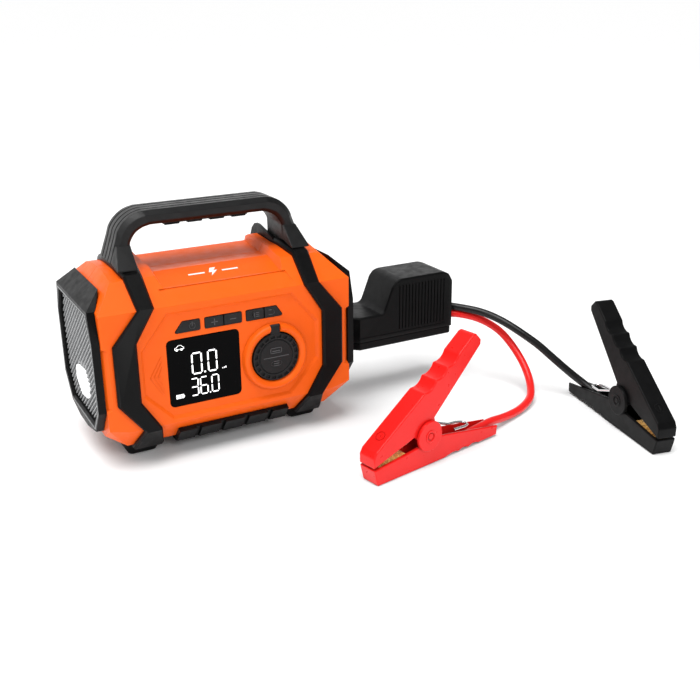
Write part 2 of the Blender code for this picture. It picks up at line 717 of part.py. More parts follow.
# ---------------------------------------------------------------- lead module
def module_profile():
    """Side outline in X and Z of the module above its parting line."""
    return [
        (NOSE_START_X + 4, 52.1), (NOSE_START_X + 4, 74.6), (150.5, 74.6), (153.6, 76.6),
        (162.0, 97.8), (165.6, 102.0), (170.5, 103.6), (214.0, 103.6), (220.6, 101.2),
        (MODULE_END_X, 95.0), (MODULE_END_X, 52.1),
    ]


def make_module():
    w = MODULE_HALF_W
    top = place("module_top", prism(module_profile(), "Y", -w, w), "black_plastic")
    for sy in (-1, 1):
        nose = [(100, sy * 12.5), (119.5, sy * 12.5), (129.0, sy * w), (129.0, sy * 26),
                (100, sy * 26)]
        boolean(top, cutter(f"cut_nose_top_{sy + 1}", prism(nose, "Z", 40, 110)))
    base_outline = [
        (NOSE_START_X + 4, -12.5), (119.5, -12.5), (129.0, -w), (MODULE_END_X - 2, -w),
        (MODULE_END_X, -w + 2), (MODULE_END_X, w - 2), (MODULE_END_X - 2, w), (129.0, w),
        (119.5, w - 9.0), (NOSE_START_X + 4, w - 9.0),
    ]
    base = prism(base_outline, "Z", 51.8, 44.8, inset=1.0)
    place("module_base", base, "black_plastic")
    plug = place("lead_plug", block((NOSE_START_X - 2.0, -14.5, SOCKET_Z - 7.4),
                                    (NOSE_START_X + 3.7, 14.5, SOCKET_Z + 9.6)), "black_plastic")
    for i, y in enumerate((-7.6, 7.6)):
        prong = prism(circle(y, SOCKET_Z, 5.6, 20), "X", 88.0, NOSE_START_X)
        boolean(plug, hide_tool(place(f"prong_{i}", prong, None)), "UNION")
    pocket = rectangle(-17.0, 9.0, 55.4, 73.4)
    boolean(top, cutter("cut_lead_pocket", prism(pocket, "X", 215.0, MODULE_END_X + 2)))
    for i in range(11):
        x = 171.0 + 4.5 * i
        slot = block((x - 0.7, -w - 1, 60.0), (x + 0.7, -w + 0.8, 96.0))
        boolean(top, cutter(f"cut_rib_{i}", slot))


# ---------------------------------------------------------------- leads
def smooth_route(points, spacing):
    """Even points along a Catmull-Rom curve through the route's own points."""
    route = [Vector(p) for p in points]
    route = [2 * route[0] - route[1]] + route + [2 * route[-1] - route[-2]]
    dense = []
    for a, b, c, d in zip(route, route[1:], route[2:], route[3:]):
        for step in range(24):
            t = step / 24
            dense.append(0.5 * (2 * b + (c - a) * t + (2 * a - 5 * b + 4 * c - d) * t * t
                                + (3 * b - a - 3 * c + d) * t ** 3))
    dense.append(route[-2])
    total = sum((q - p).length for p, q in zip(dense, dense[1:]))
    count = max(2, round(total / spacing))
    picked = [dense[0]]
    travelled = 0.0
    for p, q in zip(dense, dense[1:]):
        travelled += (q - p).length
        if travelled >= total * len(picked) / count and len(picked) < count:
            picked.append(q)
    return picked + [dense[-1]]


def tube(name, points, diameter, slot, resolution=2):
    curve = bpy.data.curves.new(name, "CURVE")
    curve.dimensions = "3D"
    curve.bevel_depth = diameter / 2 * MM
    curve.bevel_resolution = resolution
    curve.use_fill_caps = True
    spline = curve.splines.new("POLY")
    spline.points.add(len(points) - 1)
    for target, point in zip(spline.points, points):
        target.co = (*(Vector(point) * MM), 1.0)
    obj = bpy.data.objects.new(name, curve)
    bpy.context.scene.collection.objects.link(obj)
    curve.materials.append(material(slot))
    return obj


def make_leads():
    tube("red_lead", smooth_route(RED_ROUTE, 2.2 * LEAD_D), LEAD_D, "red_silicone")
    tube("black_lead", smooth_route(BLACK_ROUTE, 2.2 * LEAD_D), LEAD_D, "black_silicone")


# ---------------------------------------------------------------- clamps
def clamp_matrix(clamp):
    """Clamp frame to world: X from tip to tail, Y across, Z up from the floor."""
    (x, y), heading = clamp
    turn = Matrix.Rotation(math.radians(heading), 4, "Z")
    return Matrix.Translation((x, y, 0)) @ turn @ Matrix.Scale(CLAMP_SCALE, 4)


def wave(start, end, dips, depth, side):
    """Points along a line with shallow finger dips; side is +1 or -1 for their direction."""
    a, b = Vector(start), Vector(end)
    along = (b - a) / dips
    across = Vector((-along.y, along.x)).normalized() * side * depth
    points = []
    for i in range(dips):
        for t, d in ((0.0, 0.0), (0.25, 0.75), (0.5, 1.0), (0.75, 0.75)):
            points.append(tuple(a + along * (i + t) + across * d))
    return points + [tuple(b)]


def lower_profile():
    top = [(124.6, 8.8), (60.2, 20.4), (36.0, 17.2), (-4.2, 12.9)]
    bottom = [(-1.0, 0.0), (66.0, 0.0)] + wave((70.0, 0.3), (103.0, 1.0), 3, 1.5, 1)[1:]
    return bottom + [(123.5, 1.2)] + top


def upper_profile():
    top = [(-4.6, 14.4), (-4.6, 22.0), (-2.2, 26.2)]
    top += wave((43.8, 58.6), (77.9, 80.3), 3, 2.6, -1)
    top += [(92.6, 91.6), (95.6, 92.2), (101.0, 86.6), (100.6, 82.6)]
    under = [(54.6, 37.0), (56.2, 30.0)]
    arc = [(PIN_S + HINGE_R * math.cos(a), PIN_H + HINGE_R * math.sin(a))
           for a in (math.radians(d) for d in (12, -15, -42, -70, -100, -130, -160))]
    return top + under + arc + [(34.4, 26.6)]


def jaw_cavity(points):
    return prism(points, "Y", JAW_WALL - JAW_HALF_W, JAW_HALF_W - JAW_WALL)


def make_lower_jaw(colour, matrix, slot):
    w = JAW_HALF_W
    jaw = place(f"{colour}_lower_jaw", prism(lower_profile(), "Y", -w, w), slot, matrix=matrix)
    trough = jaw_cavity([(1.5, 3.0), (68.0, 3.2), (112.0, 3.4), (130.0, 3.2), (130.0, 30.0),
                         (1.5, 30.0)])
    boolean(jaw, cutter(f"cut_{colour}_trough", trough, matrix))
    for side, sy in (("left", 1), ("right", -1)):
        shapes = (("ear", disc((PIN_S, PIN_H), EAR_R, "Y", sy * 8.5, sy * 10.8, 32)),
                  ("root", prism(rectangle(44.4, 51.6, 13.1, 14.9), "Y", sy * 7.2, sy * 9.4)))
        for part, bm in shapes:
            tool = place(f"{colour}_{side}_{part}", bm, None, matrix=matrix)
            boolean(jaw, hide_tool(tool), "UNION")
    relief = disc((PIN_S, PIN_H), HINGE_R + 0.9, "Y", -w - 0.15, w + 0.15, 24)
    boolean(jaw, cutter(f"cut_{colour}_relief", relief, matrix))
    bore = disc((PIN_S, PIN_H), PIN_R + GAP, "Y", -20, 20, 20)
    boolean(jaw, cutter(f"cut_{colour}_lower_bore", bore, matrix))
    return jaw


def make_upper_jaw(colour, matrix, slot):
    w = JAW_HALF_W - 0.2
    origin = matrix @ Vector((PIN_S, 0, PIN_H))
    jaw = place(f"{colour}_upper_jaw", prism(upper_profile(), "Y", -w, w), slot,
                origin=origin, matrix=matrix)
    hollow = jaw_cavity([(-1.8, 8.0), (-1.8, 22.6), (45.0, 54.2), (80.0, 76.8), (93.0, 87.0),
                         (110.0, 74.0), (110.0, 60.0), (70.0, 8.0)])
    boolean(jaw, cutter(f"cut_{colour}_hollow", hollow, matrix))
    bore = disc((PIN_S, PIN_H), PIN_R + GAP, "Y", -20, 20, 20)
    boolean(jaw, cutter(f"cut_{colour}_upper_bore", bore, matrix))
    return jaw


def toothed(line_start, line_end, back, teeth, height):
    """A strip whose toothed edge follows a line and whose back edge is offset."""
    a, b = Vector(line_start), Vector(line_end)
    step = (b - a) / teeth
    across = Vector((-step.y, step.x)).normalized()
    points = []
    for i in range(teeth):
        points.append(tuple(a + step * i))
        points.append(tuple(a + step * (i + 0.5) + across * height))
    points.append(tuple(b))
    return points + [tuple(b - across * back), tuple(a - across * back)]


def make_liners(colour, matrix):
    half = JAW_HALF_W - JAW_WALL - GAP
    lower = prism(toothed((2.2, 12.4), (31.0, 13.6), 3.2, 7, 1.2), "Y", -half, half)
    place(f"{colour}_lower_liner", lower, "copper", matrix=matrix)
    upper = prism(toothed((30.0, 24.8), (0.6, 15.9), 3.0, 7, 1.2), "Y", -half, half)
    origin = matrix @ Vector((PIN_S, 0, PIN_H))
    place(f"{colour}_upper_liner", upper, "copper", origin=origin, matrix=matrix)


def make_spring(colour, matrix):
    """The jaw spring: a coil round the pin and a leg that lies in the lower handle."""
    radius, half, turns, per_turn = 4.4, 4.6, 4, 10
    points = []
    for i in range(turns * per_turn + 1):
        angle = math.radians(70) - 2 * math.pi * i / per_turn
        points.append((PIN_S + radius * math.cos(angle), -half + 2 * half * i / (turns * per_turn),
                       PIN_H + radius * math.sin(angle)))
    last = points[-1]
    points += [(last[0] + 12, 5.2, last[2] - 4.0), (86.0, 5.2, 15.4), (90.0, 4.6, 14.9),
               (96.0, 0.0, 13.9), (90.0, -4.6, 14.9), (84.0, -5.2, 15.8)]
    tube(f"{colour}_spring", [matrix @ Vector(p) for p in points], 1.4, "steel", 1)


def make_clamp(colour, clamp):
    matrix = clamp_matrix(clamp)
    slot = "red_plastic" if colour == "red" else "black_plastic"
    make_lower_jaw(colour, matrix, slot)
    make_upper_jaw(colour, matrix, slot)
    make_liners(colour, matrix)
    make_spring(colour, matrix)
    pin = disc((PIN_S, PIN_H), PIN_R, "Y", -10.4, 10.4, 20)
    place(f"{colour}_pin", pin, slot, matrix=matrix, smooth=True)


def main():
    clear_scene()
    make_casing()
    make_bands()
    make_feet()
    make_guard()
    make_handle()
    make_light()
    make_socket_end()
    make_flap()
    make_display()
    make_keys()
    make_port()
    make_insides()
    make_screws()
    make_module()
    make_leads()
    make_clamp("red", RED_CLAMP)
    make_clamp("black", BLACK_CLAMP)


main()
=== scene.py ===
import json
import math

import bmesh
import bpy
from mathutils import Matrix, Vector


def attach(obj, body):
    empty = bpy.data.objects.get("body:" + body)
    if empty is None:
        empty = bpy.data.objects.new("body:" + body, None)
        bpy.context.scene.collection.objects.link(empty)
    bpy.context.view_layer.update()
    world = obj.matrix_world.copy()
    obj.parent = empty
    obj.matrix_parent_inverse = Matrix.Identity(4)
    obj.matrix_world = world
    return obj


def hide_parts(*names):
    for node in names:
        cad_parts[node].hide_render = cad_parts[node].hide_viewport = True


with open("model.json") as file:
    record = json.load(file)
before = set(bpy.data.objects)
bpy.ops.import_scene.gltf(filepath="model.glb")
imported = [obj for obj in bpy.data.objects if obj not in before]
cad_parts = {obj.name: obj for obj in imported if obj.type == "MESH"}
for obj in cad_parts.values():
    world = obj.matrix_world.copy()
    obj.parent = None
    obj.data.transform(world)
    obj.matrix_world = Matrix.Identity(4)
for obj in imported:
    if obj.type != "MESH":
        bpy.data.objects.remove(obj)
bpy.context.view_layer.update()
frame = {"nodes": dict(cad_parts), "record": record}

# Lengths are in millimetres and each mesh is scaled to metres once. In metres are names that end
# in _M, the places of the camera and the lights, and the routes of the leads.
MM = 0.001
SCENE = bpy.context.scene
SCENE.view_settings.view_transform = "Standard"
JOINTS = {joint["name"]: joint for joint in frame["record"]["behaviour"]["joints"]}

# ---------------------------------------------------------------- camera, floor and light
CAMERA_AT = Vector((-0.247, -0.6816, 0.3359))
CAMERA_AZIMUTH, CAMERA_ELEVATION, CAMERA_ROLL = -29.0, 20.89, -0.33
LENS, SENSOR_WIDTH = 48.34, 36.0
AMBIENT_STRENGTH, BACKDROP_STRENGTH = 0.26, 1.0
FLOOR_HALF_M, FLOOR_DROP_M = 60.0, 0.0002


def make_camera():
    """The view that the object is seen from, three quarters from the front left."""
    azimuth, elevation, roll = (
        math.radians(v) for v in (CAMERA_AZIMUTH, CAMERA_ELEVATION, CAMERA_ROLL)
    )
    back = Vector((math.sin(azimuth) * math.cos(elevation),
                   -math.cos(azimuth) * math.cos(elevation), math.sin(elevation)))
    side = (-back).cross(Vector((0, 0, 1))).normalized()
    up = side.cross(-back).normalized()
    right = side * math.cos(roll) + up * math.sin(roll)
    up = up * math.cos(roll) - side * math.sin(roll)
    data = bpy.data.cameras.new("camera")
    data.lens = LENS
    data.sensor_width = SENSOR_WIDTH
    camera = bpy.data.objects.new("camera", data)
    SCENE.collection.objects.link(camera)
    turn = Matrix((right, up, back)).transposed().to_4x4()
    camera.matrix_world = Matrix.Translation(CAMERA_AT) @ turn
    SCENE.camera = camera


def area_light(name, at, target, size, power, glossy=True):
    """A panel lamp, out of sight itself, which glossy surfaces may or may not mirror."""
    data = bpy.data.lights.new(name, "AREA")
    data.shape = "RECTANGLE"
    data.size, data.size_y = size
    data.energy = power
    light = bpy.data.objects.new(name, data)
    SCENE.collection.objects.link(light)
    light.location = at
    light.rotation_mode = "QUATERNION"
    light.rotation_quaternion = (Vector(target) - Vector(at)).to_track_quat("-Z", "Y")
    light.visible_camera = False
    light.visible_glossy = glossy


def soft_sun(strength, spread_degrees, direction):
    data = bpy.data.lights.new("soft_sun", "SUN")
    data.energy = strength
    data.angle = math.radians(spread_degrees)
    light = bpy.data.objects.new("soft_sun", data)
    SCENE.collection.objects.link(light)
    light.rotation_mode = "QUATERNION"
    light.rotation_quaternion = Vector(direction).to_track_quat("-Z", "Y")


def make_world():
    """White ambient light, in front of a brighter white backdrop."""
    world = bpy.data.worlds.new("studio")
    SCENE.world = world
    world.use_nodes = True
    tree = world.node_tree
    ambient = tree.nodes["Background"]
    ambient.inputs["Color"].default_value = (1, 1, 1, 1)
    ambient.inputs["Strength"].default_value = AMBIENT_STRENGTH
    backdrop = tree.nodes.new("ShaderNodeBackground")
    backdrop.inputs["Color"].default_value = (1, 1, 1, 1)
    backdrop.inputs["Strength"].default_value = BACKDROP_STRENGTH
    rays = tree.nodes.new("ShaderNodeLightPath")
    pick = tree.nodes.new("ShaderNodeMixShader")
    tree.links.new(rays.outputs["Is Camera Ray"], pick.inputs["Fac"])
    tree.links.new(ambient.outputs[0], pick.inputs[1])
    tree.links.new(backdrop.outputs[0], pick.inputs[2])
    tree.links.new(pick.outputs[0], tree.nodes["World Output"].inputs["Surface"])


def make_lights():
    soft_sun(strength=2.62, spread_degrees=42, direction=(0.26, 0.12, -1.0))
    area_light("back_panel", at=(0.1, 2.2, 0.9), target=(0.1, 0, 0.1), size=(4.2, 1.7), power=20.0)
    area_light("left_strip", at=(-1.0, -0.25, 0.7), target=(0, 0, 0.08), size=(0.25, 0.8),
               power=2.2)
    area_light("front_fill", at=(0.15, -1.4, 0.9), target=(0.08, -0.05, 0.06), size=(1.1, 0.5),
               power=8.5, glossy=False)


def make_floor():
    bm = bmesh.new()
    bmesh.ops.create_grid(bm, x_segments=2, y_segments=2, size=FLOOR_HALF_M)
    mesh = bpy.data.meshes.new("floor")
    bm.to_mesh(mesh)
    bm.free()
    floor = bpy.data.objects.new("floor", mesh)
    SCENE.collection.objects.link(floor)
    floor.location.z = -FLOOR_DROP_M
    mesh.materials.append(surface("floor", (0.98, 0.98, 0.98), 0.7, specular=0.05, shade=0.004))


def make_studio():
    make_world()
    make_lights()
    make_floor()


# ---------------------------------------------------------------- materials
BOUNCE_GREY = 0.16
BOUNCE_SHARE = 0.75
DRIFT_FROM, DRIFT_TO = 0.3, 0.7  # the part of a noise texture's range that is spread out
HIGHLIGHT_FROM, HIGHLIGHT_TO = 0.53, 0.62  # pointiness where the painted edge highlight starts and is full
HIGHLIGHT_GAIN, HIGHLIGHT_LIFT = 2.2, 0.035
GLOSS_PATCH_SHARE = 0.35
GRAIN_DEPTH_SHARE = 0.25
LOWEST_ROUGHNESS = 0.02


def neutral_bounce(nodes, links, tint):
    """The tint as seen directly, and a greyer one for light that it throws on other things."""
    rays = nodes.new("ShaderNodeLightPath")
    share = nodes.new("ShaderNodeMath")
    share.operation = "MULTIPLY"
    share.inputs[1].default_value = BOUNCE_SHARE
    links.new(rays.outputs["Is Diffuse Ray"], share.inputs[0])
    mix = nodes.new("ShaderNodeMixRGB")
    mix.inputs["Color2"].default_value = (BOUNCE_GREY, BOUNCE_GREY, BOUNCE_GREY, 1)
    links.new(share.outputs["Value"], mix.inputs["Fac"])
    links.new(tint, mix.inputs["Color1"])
    return mix.outputs["Color"]


def surface(name, colour, roughness, grain=0.0, grain_mm=0.4, metallic=0.0, specular=0.5,
            shade=0.06, patch_mm=18.0, rough_spread=0.08, emission=None, edge_highlight=0.0,
            neutral=False):
    """Principled surface with a fine moulded grain, slow colour drift and uneven gloss.

    A painted edge highlight lightens the colour a little along convex edges. A neutral surface
    throws little of its colour on other things.
    """
    made = bpy.data.materials.new(name)
    made.use_nodes = True
    tree = made.node_tree
    nodes, links = tree.nodes, tree.links
    shader = nodes["Principled BSDF"]
    shader.inputs["Metallic"].default_value = metallic
    shader.inputs["Specular IOR Level"].default_value = specular
    if emission:
        shader.inputs["Emission Color"].default_value = (*colour, 1)
        shader.inputs["Emission Strength"].default_value = emission
    place = nodes.new("ShaderNodeTexCoord").outputs["Object"]

    def noise(size_mm, detail):
        node = nodes.new("ShaderNodeTexNoise")
        node.inputs["Scale"].default_value = 1.0 / (size_mm * MM)
        node.inputs["Detail"].default_value = detail
        links.new(place, node.inputs["Vector"])
        return node.outputs["Fac"]

    ramp = nodes.new("ShaderNodeValToRGB")
    low = [max(0.0, c * (1 - shade)) for c in colour]
    high = [min(1.0, c * (1 + shade)) for c in colour]
    ramp.color_ramp.elements[0].position = DRIFT_FROM
    ramp.color_ramp.elements[1].position = DRIFT_TO
    ramp.color_ramp.elements[0].color = (*low, 1)
    ramp.color_ramp.elements[1].color = (*high, 1)
    links.new(noise(patch_mm, 3.0), ramp.inputs["Fac"])
    tint = ramp.outputs["Color"]
    # Painted highlight: the colour is lightened along convex edges, where pointiness is high.
    if edge_highlight:
        edge = nodes.new("ShaderNodeMapRange")
        edge.inputs["From Min"].default_value = HIGHLIGHT_FROM
        edge.inputs["From Max"].default_value = HIGHLIGHT_TO
        edge.inputs["To Max"].default_value = edge_highlight
        links.new(nodes.new("ShaderNodeNewGeometry").outputs["Pointiness"], edge.inputs["Value"])
        mix = nodes.new("ShaderNodeMixRGB")
        highlit = [min(1.0, c * HIGHLIGHT_GAIN + HIGHLIGHT_LIFT) for c in colour]
        mix.inputs["Color2"].default_value = (*highlit, 1)
        links.new(edge.outputs["Result"], mix.inputs["Fac"])
        links.new(tint, mix.inputs["Color1"])
        tint = mix.outputs["Color"]
    if neutral:
        tint = neutral_bounce(nodes, links, tint)
    links.new(tint, shader.inputs["Base Color"])
    span = nodes.new("ShaderNodeMapRange")
    span.inputs["From Min"].default_value = DRIFT_FROM
    span.inputs["From Max"].default_value = DRIFT_TO
    span.inputs["To Min"].default_value = max(LOWEST_ROUGHNESS, roughness - rough_spread)
    span.inputs["To Max"].default_value = min(1.0, roughness + rough_spread)
    links.new(noise(patch_mm * GLOSS_PATCH_SHARE, 4.0), span.inputs["Value"])
    links.new(span.outputs["Result"], shader.inputs["Roughness"])
    if grain:
        bump = nodes.new("ShaderNodeBump")
        bump.inputs["Strength"].default_value = grain
        bump.inputs["Distance"].default_value = grain_mm * MM * GRAIN_DEPTH_SHARE
        links.new(noise(grain_mm, 2.0), bump.inputs["Height"])
        links.new(bump.outputs["Normal"], shader.inputs["Normal"])
    return made


# Each look has a name, a colour, a roughness, the grain's strength and the grain's size.
LOOKS = {
    "orange_plastic": surface("orange_moulded", (0.95, 0.118, 0.004), 0.42, 0.22, 0.35,
                              specular=0.22, shade=0.025, neutral=True),
    "black_plastic": surface("black_satin", (0.0028, 0.0028, 0.003), 0.4, 0.25, 0.35,
                             specular=0.12, edge_highlight=0.2),
    "black_rubber": surface("black_rubber_matt", (0.0045, 0.0045, 0.0047), 0.6, 0.5, 0.3,
                            specular=0.2, edge_highlight=0.12),
    "handle_plastic": surface("black_textured", (0.004, 0.004, 0.0042), 0.4, 0.5, 0.6,
                              specular=0.3, edge_highlight=0.3),
    "display_glass": surface("display_gloss", (0.0012, 0.0012, 0.0014), 0.14, specular=0.04,
                             rough_spread=0.02),
    "reflector_grey": surface("reflector_silver", (0.3, 0.305, 0.31), 0.45, 0.1, 0.3,
                              metallic=0.2),
    "led_white": surface("lamp_white", (1.0, 1.0, 1.0), 0.2, emission=1.0),
    "circuit_green": surface("circuit_lacquer", (0.012, 0.11, 0.045), 0.35, 0.6, 0.8),
    "battery_foil": surface("battery_wrap", (0.05, 0.16, 0.32), 0.35, 0.3, 2.0),
    "steel": surface("plated_steel", (0.7, 0.71, 0.72), 0.24, 0.25, 0.2, metallic=1.0),
    "copper": surface("copper_plate", (0.98, 0.7, 0.36), 0.27, 0.3, 0.25, metallic=0.7),
    "red_plastic": surface("red_moulded", (0.86, 0.010, 0.008), 0.3, 0.06, 0.4,
                           specular=0.3, shade=0.025, rough_spread=0.03, neutral=True),
    "red_silicone": surface("red_sheath", (0.86, 0.014, 0.012), 0.3, 0.08, 0.25, specular=0.35,
                            shade=0.03, rough_spread=0.03, neutral=True),
    "black_silicone": surface("black_sheath", (0.004, 0.004, 0.0042), 0.34, 0.3, 0.25,
                              specular=0.35),
    "lcd_grey": surface("module_grey", (0.12, 0.125, 0.13), 0.5, 0.2, 0.4),
}
KEY_LOOK = surface("key_rubber", (0.013, 0.013, 0.0135), 0.55, 0.4, 0.3, specular=0.25, edge_highlight=0.3)
ICON_LOOK = surface("icon_relief", (0.085, 0.085, 0.088), 0.5, 0.2, 0.3, specular=0.3)
WIRE_LOOK = surface("clip_wire", (0.85, 0.85, 0.86), 0.2, 0.1, 0.2, metallic=1.0)
PRINT_LOOK = surface("white_print", (0.93, 0.92, 0.9), 0.5, 0.2, 0.3, shade=0.02)
DIGIT_LOOK = surface("display_digit", (1.0, 1.0, 1.0), 0.4, emission=1.0, shade=0.01)
TRIM_LOOK = surface("bezel_edge_grey", (0.22, 0.225, 0.23), 0.35, 0.2, 0.3, metallic=0.3)


def dress_frame():
    """Every CAD node that stays in view takes the look of its material slot."""
    for part in frame["record"]["subparts"]:
        mesh = frame["nodes"][part["node"]].data
        mesh.materials.clear()
        mesh.materials.append(LOOKS[part["material_slot"]])


# ---------------------------------------------------------------- shapes, in millimetres
def loft(rings, closed=False):
    """A skin over rings of equal point counts, with flat ends, or joined end to start."""
    bm = bmesh.new()
    rows = [[bm.verts.new(point) for point in ring] for ring in rings]
    pairs = list(zip(rows, rows[1:]))
    if closed:
        pairs.append((rows[-1], rows[0]))
    for first, second in pairs:
        for i in range(len(first)):
            j = (i + 1) % len(first)
            bm.faces.new((first[i], first[j], second[j], second[i]))
    if not closed:
        bm.faces.new(rows[0])
        bm.faces.new(rows[-1])
    bmesh.ops.recalc_face_normals(bm, faces=bm.faces)
    return bm


def axis_point(axis, along, a, b):
    """A point at `along` on the axis; a and b follow the remaining axes in X, Y, Z order."""
    return {"X": (along, a, b), "Y": (a, along, b), "Z": (a, b, along)}[axis]


def prism(outline, axis, low, high):
    rings = [[axis_point(axis, at, a, b) for a, b in outline] for at in (low, high)]
    return loft(rings)


def rectangle(a0, a1, b0, b1):
    return [(a0, b0), (a1, b0), (a1, b1), (a0, b1)]


def circle(a, b, radius, count=32):
    angles = [2 * math.pi * i / count for i in range(count)]
    return [(a + radius * math.cos(t), b + radius * math.sin(t)) for t in angles]


def turned(profile, centre, axis, count):
    """A closed profile of (radius, along) points turned about an axis through centre."""
    rings = []
    for i in range(count):
        angle = 2 * math.pi * i / count
        rings.append([axis_point(axis, along, centre[0] + radius * math.cos(angle),
                                 centre[1] + radius * math.sin(angle))
                      for radius, along in profile])
    bm = loft(rings, closed=True)
    bmesh.ops.remove_doubles(bm, verts=bm.verts, dist=1e-4)
    return bm


def merged(shapes):
    """Several closed shapes in one mesh."""
    whole = bmesh.new()
    for bm in shapes:
        part = bpy.data.meshes.new("part")
        bm.to_mesh(part)
        bm.free()
        whole.from_mesh(part)
        bpy.data.meshes.remove(part)
    return whole


def combined(target, tool, operation):
    """The exact Boolean of two closed shapes."""
    objects = []
    for bm in (target, tool):
        bmesh.ops.recalc_face_normals(bm, faces=bm.faces)
        mesh = bpy.data.meshes.new("temporary")
        bm.to_mesh(mesh)
        bm.free()
        obj = bpy.data.objects.new("temporary", mesh)
        SCENE.collection.objects.link(obj)
        objects.append(obj)
    modifier = objects[0].modifiers.new("cut", "BOOLEAN")
    modifier.object = objects[1]
    modifier.operation = operation
    modifier.solver = "EXACT"
    modifier.use_self = True
    bpy.context.view_layer.update()
    graph = bpy.context.evaluated_depsgraph_get()
    result = bmesh.new()
    result.from_mesh(objects[0].evaluated_get(graph).to_mesh())
    for obj in objects:
        mesh = obj.data
        bpy.data.objects.remove(obj)
        bpy.data.meshes.remove(mesh)
    return result


def cut(target, tool):
    return combined(target, tool, "DIFFERENCE")


def from_node(node):
    """The CAD node's solid in millimetres, its flat faces made whole again."""
    bm = bmesh.new()
    bm.from_mesh(frame["nodes"][node].data)
    bmesh.ops.scale(bm, vec=(1 / MM,) * 3, verts=bm.verts)
    bmesh.ops.remove_doubles(bm, verts=bm.verts, dist=0.002)
    bmesh.ops.dissolve_limit(bm, angle_limit=math.radians(0.6), verts=bm.verts, edges=bm.edges)
    bmesh.ops.recalc_face_normals(bm, faces=bm.faces)
    return bm


def soften(bm, width, segments=3, angle=24.0, chosen=None, clamp=True):
    """Rounds the convex and concave edges sharper than an angle."""
    edges = []
    for edge in bm.edges:
        if len(edge.link_faces) != 2:
            continue
        if edge.calc_face_angle(0.0) < math.radians(angle):
            continue
        if chosen and not chosen(edge):
            continue
        edges.append(edge)
    if edges:
        bmesh.ops.bevel(bm, geom=edges, offset=width, offset_type="OFFSET", segments=segments,
                        profile=0.5, affect="EDGES", clamp_overlap=clamp)
    return bm


def piece(name, bm, slot, body, replaces=(), look=None, smooth_degrees=35.0):
    """Turns a bmesh in millimetres into a piece that rides on a body."""
    bmesh.ops.scale(bm, vec=(MM,) * 3, verts=bm.verts)
    mesh = bpy.data.meshes.new(name)
    bm.to_mesh(mesh)
    bm.free()
    mesh.shade_smooth()
    mesh.set_sharp_from_angle(angle=math.radians(smooth_degrees))
    obj = bpy.data.objects.new(name, mesh)
    SCENE.collection.objects.link(obj)
    mesh.materials.append(look or LOOKS[slot])
    modifier = obj.modifiers.new("even_normals", "WEIGHTED_NORMAL")
    modifier.keep_sharp = True
    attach(obj, body)
    if replaces:
        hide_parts(*replaces)
    return obj


def softened(node, slot, body, width, segments=3, angle=24.0, chosen=None, look=None):
    bm = soften(from_node(node), width, segments, angle, chosen)
    return piece(node + "_soft", bm, slot, body, (node,), look)


def stroke(points, width, closed=False):
    """One four-sided strip along each run of a polyline, with overlapping ends."""
    strips = []
    pairs = list(zip(points, points[1:] + points[:1] if closed else points[1:]))
    for a, b in pairs:
        along = (Vector(b) - Vector(a)).normalized() * width / 2
        across = Vector((-along.y, along.x))
        start, end = Vector(a) - along, Vector(b) + along
        strips.append([tuple(start - across), tuple(end - across), tuple(end + across),
                       tuple(start + across)])
    return strips


def arc(a, b, radius, start, end, steps=14):
    return [(a + radius * math.cos(math.radians(start + (end - start) * i / steps)),
             b + radius * math.sin(math.radians(start + (end - start) * i / steps)))
            for i in range(steps + 1)]


def on_front(strips, y_low, y_high):
    """Flat marks on a face that looks along -Y."""
    return merged([prism(strip, "Y", y_low, y_high) for strip in strips])


def on_slope(strips, foot, rise, normal, across, low, high):
    """Flat marks on a sloping face; strips are in distance up the slope and across it."""
    shapes = []
    for strip in strips:
        rings = []
        for height in (low, high):
            rings.append([foot + rise * a + normal * height + across * b for a, b in strip])
        shapes.append(loft(rings))
    return merged(shapes)


# ---------------------------------------------------------------- casing
PANEL_Y = -52.0
CHEVRON_ROOT_X, CHEVRON_MID_Z = -56.6, 70.5
CHEVRON_TIP_X, CHEVRON_TIP_STEP = -65.6, 3.1
CHEVRON_ARM, CHEVRON_ARM_STEP = 14.6, 4.4
CHEVRON_WIDTH = 1.1
LIP_HALF_X, LIP_Y, LIP_Z = 54.0, (24.0, 38.0), 139.0


def clear_of_lip(edge):
    """Leaves the thin lip at the rear of the scoop sharp, because it is too fine to round."""
    middle = (edge.verts[0].co + edge.verts[1].co) / 2
    return not (abs(middle.x) < LIP_HALF_X and LIP_Y[0] < middle.y < LIP_Y[1]
                and middle.z > LIP_Z)


def make_casing():
    for node in ("front_shell", "rear_shell"):
        softened(node, "orange_plastic", "pack", 1.1, angle=18.0, chosen=clear_of_lip)
    strips = []
    for i in range(3):
        tip, arm = CHEVRON_TIP_X + CHEVRON_TIP_STEP * i, CHEVRON_ARM - CHEVRON_ARM_STEP * i
        line = [(CHEVRON_ROOT_X, CHEVRON_MID_Z + arm), (tip, CHEVRON_MID_Z),
                (CHEVRON_ROOT_X, CHEVRON_MID_Z - arm)]
        strips += stroke(line, CHEVRON_WIDTH)
    marks = soften(on_front(strips, PANEL_Y - 0.55, PANEL_Y + 0.6), 0.25, 2)
    piece("panel_chevrons", marks, "orange_plastic", "pack")


# The sloping floor of the scoop, where the badge is printed.
SLOPE_FOOT = Vector((0, -38.0, 134.0))
SLOPE_RISE = Vector((0, 22.0, 6.6)).normalized()
SLOPE_NORMAL = Vector((0, -SLOPE_RISE.z, SLOPE_RISE.y))
BADGE_X, BADGE_GAP = -3.0, 7.0
RULE_ENDS, RULE_LOW, RULE_HIGH = (-23.0, 17.0), 10.3, 11.9


